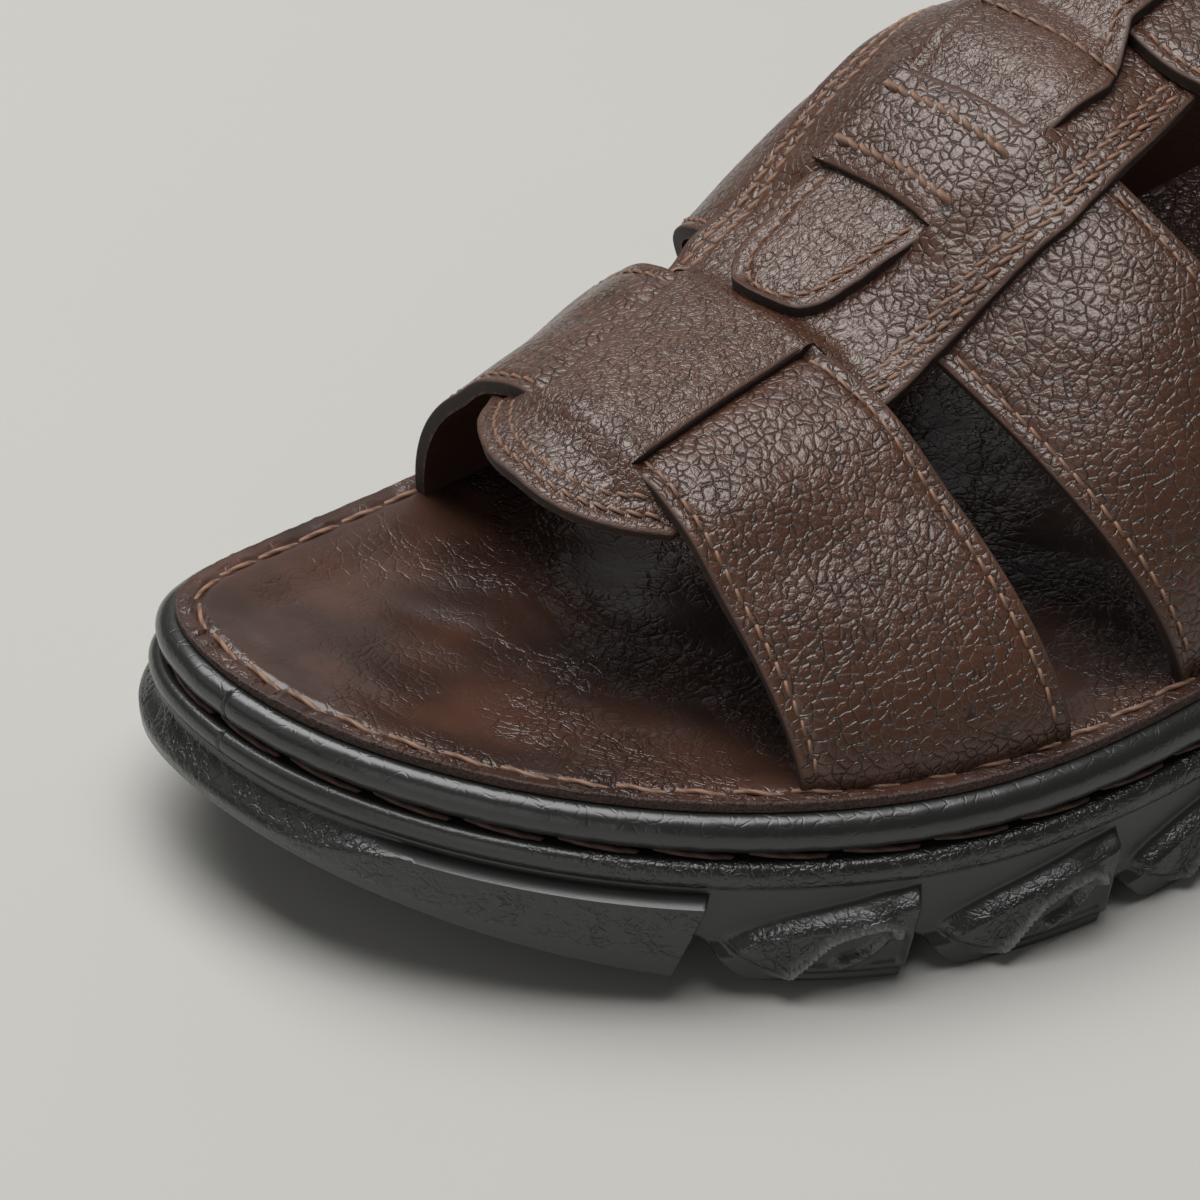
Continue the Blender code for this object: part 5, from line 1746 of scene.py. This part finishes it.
def leaf_lug(along, up):
    """Offset outward, wrinkling and painted highlight of a leaf-shaped lug at places along and up its face.

    A plain block leaves the wall by a smooth step. A leaf stands out of it, by a smooth step of
    the distance to its outline. On the leaf a wave-shaped ridge, a bell across a line, parts the
    wrinkled field from a hollow, and a hook, a bell across a second line, rises in the hollow.
    """
    length = LUG_SHARE * EDGE.lengths[0]
    spot = np.stack([along * length, up * LUG_HEIGHT], axis=-1)
    top, low = leaf_edges(along)
    sample = LEAF_TIP[0] + (1.0 - LEAF_TIP[0]) * np.linspace(0.0, 1.0, 420)**2
    rims = [np.stack([sample * length, rim * LUG_HEIGHT], axis=-1) for rim in leaf_edges(sample)]
    rim_gap = distance_to(spot, np.concatenate(rims))
    inside = (along > LEAF_TIP[0]) & (up < top) & (up > low)
    leaf = smooth(np.where(inside, rim_gap, 0.0) / LEAF_BEVEL)
    rise = smooth((along - BLOCK_TOP_START) / BLOCK_TOP_RUN)
    block_top = BLOCK_TOP[0] + (BLOCK_TOP[1] - BLOCK_TOP[0]) * rise
    block = smooth(along * length / BLOCK_FRONT_RUN) * smooth((block_top - up) * LUG_HEIGHT / BLOCK_BEVEL)
    stand = np.maximum((LUG_BLOCK_OUT - SIDE_WALL_OUT) * block, (LUG_OUT - SIDE_WALL_OUT) * leaf)
    ridge = bell(distance_to(spot, lug_line(LUG_RIDGE)), RIDGE_WIDTH)
    hook = bell(distance_to(spot, lug_line(LUG_HOOK)), HOOK_WIDTH)
    rows = np.array(LUG_RIDGE)
    below = (np.interp(along, rows[:, 0], rows[:, 1]) - up) * LUG_HEIGHT
    hollow = smooth(below / HOLLOW_SLOPE) * smooth((along - HOLLOW_START) / HOLLOW_START_RUN)
    hollow = hollow * smooth((HOLLOW_END - along) / HOLLOW_END_RUN)
    hollow = hollow * smooth((up * LUG_HEIGHT - HOLLOW_FOOT) / HOLLOW_FOOT_RUN)
    core = smooth(np.where(inside, rim_gap, 0.0) / CORE_BEVEL)
    out = SIDE_WALL_OUT + stand + core * (RIDGE_RISE * ridge - HOLLOW_DEPTH * hollow + HOOK_RISE * hook)
    field = smooth(0.3 - below / 0.8) * (1.0 - 0.6 * smooth((along - 0.3) / 0.35))
    wrinkle = leaf * (0.12 + 0.88 * field) * (1.0 - ridge) + 0.5 * hook * core
    # The third value is a painted highlight: paler colour along the crests of the ridge and the hook.
    return out, np.clip(wrinkle, 0.0, 1.0), core * np.clip(ridge**1.5 + 0.5 * hook, 0.0, 1.0)


def plain_lug(up, shares):
    """Offset outward and wrinkling of the toe's and heel's lug: a bevelled top and a full face.

    Round the tip of the toe, at small shares of the side, the bevel widens and all of it wrinkles.
    """
    tip = 1.0 - smooth((shares - TIP_SHARE) / TIP_RUN)
    edge = smooth((1.0 - up) * LUG_HEIGHT / (LUG_BEVEL + TIP_BEVEL * tip))
    out = SIDE_WALL_OUT + (LUG_OUT - SIDE_WALL_OUT) * edge + LUG_BULGE * np.sin(np.pi * up) * edge
    band = smooth((up - 0.22) / 0.18) * smooth((0.93 - up) / 0.1)
    return out, band * (1.0 - 0.45 * tip) + 0.25 * (1.0 - band) * tip


class SANDAL_OT_outsole(bpy.types.Operator):
    """Make the moulded outsole: platform, rounded rib, plain wall, lugs with relief and tread"""

    bl_idname = "sandal.outsole"
    bl_label = "Outsole"

    def execute(self, context):
        shares, amount, along = lug_columns()
        side = EDGE.lengths[0]
        self.shares = shares
        lean_runs = (0.04, TOE_END - 2.0 / side, LUG_FIRST + 5.0 / side, 0.9, 0.96)
        self.lean = np.interp(shares, lean_runs, (0.0, TOE_LEAN, LUG_LEAN, LUG_LEAN, 0.0)) / side
        self.joint = joint_notch(shares, RIB_JOINT_DEPTH)
        self.amount = both_sides(amount)
        self.along = both_sides(along)
        slope = NOTCH_RISE * (1.0 - smooth(along * LUG_SHARE * side / NOTCH_RUN))
        self.notch = both_sides(np.maximum(np.where(along < 0.0, 0.0, slope), NOTCH_RISE * (1.0 - amount)))
        rows = self.rib_rows() + self.side_rows()
        points = np.stack([row[0] for row in rows])
        shape = self.amount.shape
        wrinkle = np.stack([np.broadcast_to(row[1], shape) for row in rows])
        rubbed = np.stack([np.broadcast_to(row[2], shape) for row in rows])
        piece = Piece()
        piece.patch(points, loop_columns=True, wrinkle=wrinkle, rubbed=rubbed)
        self.close(piece, points[0])
        self.close(piece, points[-1])
        piece.make("outsole_rubber", sole_rubber(context.scene), "outsole_rubber", ("outsole",), sharp=50.0)
        return {"FINISHED"}

    def ring(self, out, lean=0.0):
        """Plan of one ring of columns at an offset from the seam, pushed back by a share of their lean."""
        return EDGE.ring(np.clip(self.shares + self.lean * lean, 0.0, 1.0), out)

    def rib_rows(self):
        """Platform, rounded rib and plain wall, each ring at a drop below the seam."""
        rib_wrinkle = both_sides(0.12 + 0.6 * smooth((self.shares - 0.12) / 0.09))
        rings = [(PLATFORM_INNER, PLATFORM_DROP, 0.0, 0.0), (0.6, PLATFORM_DROP, 0.0, 0.0)]
        for angle in np.radians(np.linspace(92.0, -78.0, 16)):
            out = RIB_CENTRE[0] + RIB_RADII[0] * np.cos(angle) - self.joint
            rings.append((out, RIB_CENTRE[1] - RIB_RADII[1] * np.sin(angle), 0.0, rib_wrinkle))
        rings += [(SIDE_WALL_OUT, drop, lean, 0.05) for drop, lean in ((10.7, 0.2), (11.0, 0.5))]
        rows = []
        for out, drop, lean, wrinkle in rings:
            plan = self.ring(out, lean * (1.0 - LEAN_PIVOT))
            rows.append((place(plan[:, 0], plan[:, 1], seam_height(plan[:, 1]) - drop), wrinkle, 0.0))
        return rows

    def side_rows(self):
        """Lugs from their tops down, the rounded edge under them, the tread and its notches."""
        levels = 1.0 - 0.35 * both_ends(42) - 0.65 * np.linspace(0.0, 1.0, 42)
        backs = np.stack([self.ring(SIDE_WALL_OUT, level - LEAN_PIVOT)[:, 1] for level in levels])
        ground = ground_height(backs)
        high = seam_height(backs) - LUG_TOP_DROP
        low = ground + LUG_FOOT + self.notch
        heights = low + (high - low) * levels[:, None]
        up = (heights - ground) / (high - ground)
        leaf_along = np.broadcast_to(np.clip(self.along, 0.0, 1.0), up.shape)
        leaf_out, leaf_wrinkle, rubbed = leaf_lug(leaf_along, up)
        plain_out, plain_wrinkle = plain_lug(up, both_sides(self.shares))
        plain = self.along < 0.0
        out = np.where(plain, plain_out, leaf_out)
        out = SIDE_WALL_OUT + (out - SIDE_WALL_OUT) * self.amount
        wrinkle = np.where(plain, plain_wrinkle, leaf_wrinkle) * self.amount
        # The plain lugs get no painted highlight.
        rubbed = np.where(plain, 0.0, rubbed) * self.amount
        rows = []
        for level, offset, height, folds, crest_glint in zip(levels, out, heights, wrinkle, rubbed):
            plan = self.ring(offset, level - LEAN_PIVOT)
            rows.append((place(plan[:, 0], plan[:, 1], height), folds, crest_glint))
        foot = out[-1]
        inner = np.full(foot.shape, -GROOVE_REACH)
        treads = ((foot - 0.25, self.notch + 0.3), (foot - LUG_FOOT, self.notch), (inner, self.notch),
                  (inner - 1.5, 0.0 * self.notch))
        for offset, rise in treads:
            plan = self.ring(offset, -LEAN_PIVOT)
            rows.append((place(plan[:, 0], plan[:, 1], ground_height(plan[:, 1]) + rise), 0.05, 0.0))
        return rows

    def close(self, piece, ring):
        """Fill a ring with strips from the outer side straight across to the inner side."""
        half = len(ring) // 2
        outer = ring[:half + 1]
        inner = np.concatenate([ring[:1], ring[half:][::-1]])
        share = np.linspace(0.0, 1.0, 5)[None, :, None]
        piece.patch(outer[:, None] + (inner - outer)[:, None] * share)


class SANDAL_OT_stage(bpy.types.Operator):
    """Set the floor, the soft studio light and the camera at the photograph's angle"""

    bl_idname = "sandal.stage"
    bl_label = "Stage"

    def execute(self, context):
        scene = context.scene
        look = scene.stage_look
        self.floor(scene, look)
        for name, spot, size, power in LIGHTS:
            self.light(scene, name, spot, size, getattr(look, power))
        world = scene.world or bpy.data.worlds.new("surround")
        scene.world = world
        world.use_nodes = True
        sky = world.node_tree.nodes["Background"]
        sky.inputs["Color"].default_value = (1.0, 0.985, 0.955, 1.0)
        sky.inputs["Strength"].default_value = look.sky
        scene.view_settings.view_transform = "Standard"
        self.camera(scene)
        return {"FINISHED"}

    def floor(self, scene, look):
        """A level floor, four by four metres, as a grid of sixteen faces."""
        span = np.linspace(-2.0, 2.0, 5)
        grid = np.stack(np.meshgrid(span, span, indexing="ij") + [np.zeros((5, 5))], axis=-1)
        quads = grid_quads(np.arange(25).reshape(5, 5))
        mesh = bpy.data.meshes.new("floor")
        mesh.from_pydata(grid.reshape(-1, 3).tolist(), [], quads.tolist())
        floor = bpy.data.objects.new("floor", mesh)
        scene.collection.objects.link(floor)
        finish = Finish("floor_paper")
        cloud = finish.noise(9.0, 2.0)
        colour = finish.mix(cloud, rgba(look.floor, 0.985), rgba(look.floor, 1.015))
        mesh.materials.append(finish.surface(colour, 0.75, Specular_IOR_Level=0.15))

    def light(self, scene, name, spot, size, power):
        """A soft rectangular light that faces the toe."""
        data = bpy.data.lights.new(name, "AREA")
        data.shape = "RECTANGLE"
        data.size, data.size_y = size
        data.energy = power
        lamp = bpy.data.objects.new(name, data)
        lamp.location = spot
        aim = Vector(LIGHT_AIM) - lamp.location
        lamp.rotation_euler = aim.to_track_quat("-Z", "Y").to_euler()
        scene.collection.objects.link(lamp)

    def camera(self, scene):
        """Long lens looking down at the toe from its outer side."""
        data = bpy.data.cameras.new("camera")
        data.lens = CAMERA_LENS
        data.sensor_width = 36.0
        data.clip_start = 0.02
        data.clip_end = 20.0
        camera = bpy.data.objects.new("camera", data)
        turn, rise = np.radians(CAMERA_AZIMUTH), np.radians(CAMERA_ELEVATION)
        back = Vector((np.sin(turn) * np.cos(rise), -np.cos(turn) * np.cos(rise), np.sin(rise)))
        spot = (Vector(CAMERA_TARGET) + back * CAMERA_DISTANCE) * MM
        camera.matrix_world = Matrix.Translation(spot) @ back.to_track_quat("Z", "Y").to_matrix().to_4x4()
        scene.collection.objects.link(camera)
        scene.camera = camera


class SANDAL_PT_panel(bpy.types.Panel):
    """Lists the sandal's pieces and its sizes and colours"""

    bl_label = "Fisherman sandal"
    bl_idname = "SANDAL_PT_panel"
    bl_space_type = "VIEW_3D"
    bl_region_type = "UI"
    bl_category = "Sandal"

    def draw(self, context):
        """One button for each piece group, then every size, colour and light."""
        for operator in OPERATORS:
            self.layout.operator(operator.bl_idname)
        for group in (context.scene.sandal_sizes, context.scene.sandal_colours, context.scene.stage_look):
            for key in group.bl_rna.properties.keys():
                if key not in ("rna_type", "name"):
                    self.layout.prop(group, key)


GROUPS = (SandalSizes, SandalColours, StageLook)
OPERATORS = (
    SANDAL_OT_outsole,
    SANDAL_OT_welt,
    SANDAL_OT_insole,
    SANDAL_OT_straps,
    SANDAL_OT_saddle,
    SANDAL_OT_centre_strip,
    SANDAL_OT_heel_strap,
    SANDAL_OT_stage,
)


def register():
    """Make the classes known and hang the property groups on the scene."""
    for kind in (*GROUPS, *OPERATORS, SANDAL_PT_panel):
        bpy.utils.register_class(kind)
    bpy.types.Scene.sandal_sizes = bpy.props.PointerProperty(type=SandalSizes)
    bpy.types.Scene.sandal_colours = bpy.props.PointerProperty(type=SandalColours)
    bpy.types.Scene.stage_look = bpy.props.PointerProperty(type=StageLook)


def unregister():
    """Take the property groups and the classes away again."""
    for key in ("sandal_sizes", "sandal_colours", "stage_look"):
        delattr(bpy.types.Scene, key)
    for kind in reversed((*GROUPS, *OPERATORS, SANDAL_PT_panel)):
        bpy.utils.unregister_class(kind)


def main():
    """Make every piece and the stage."""
    register()
    bpy.ops.sandal.outsole()
    bpy.ops.sandal.welt()
    bpy.ops.sandal.insole()
    bpy.ops.sandal.straps()
    bpy.ops.sandal.saddle()
    bpy.ops.sandal.centre_strip()
    bpy.ops.sandal.heel_strap()
    bpy.ops.sandal.stage()


if __name__ == "__main__":
    main()
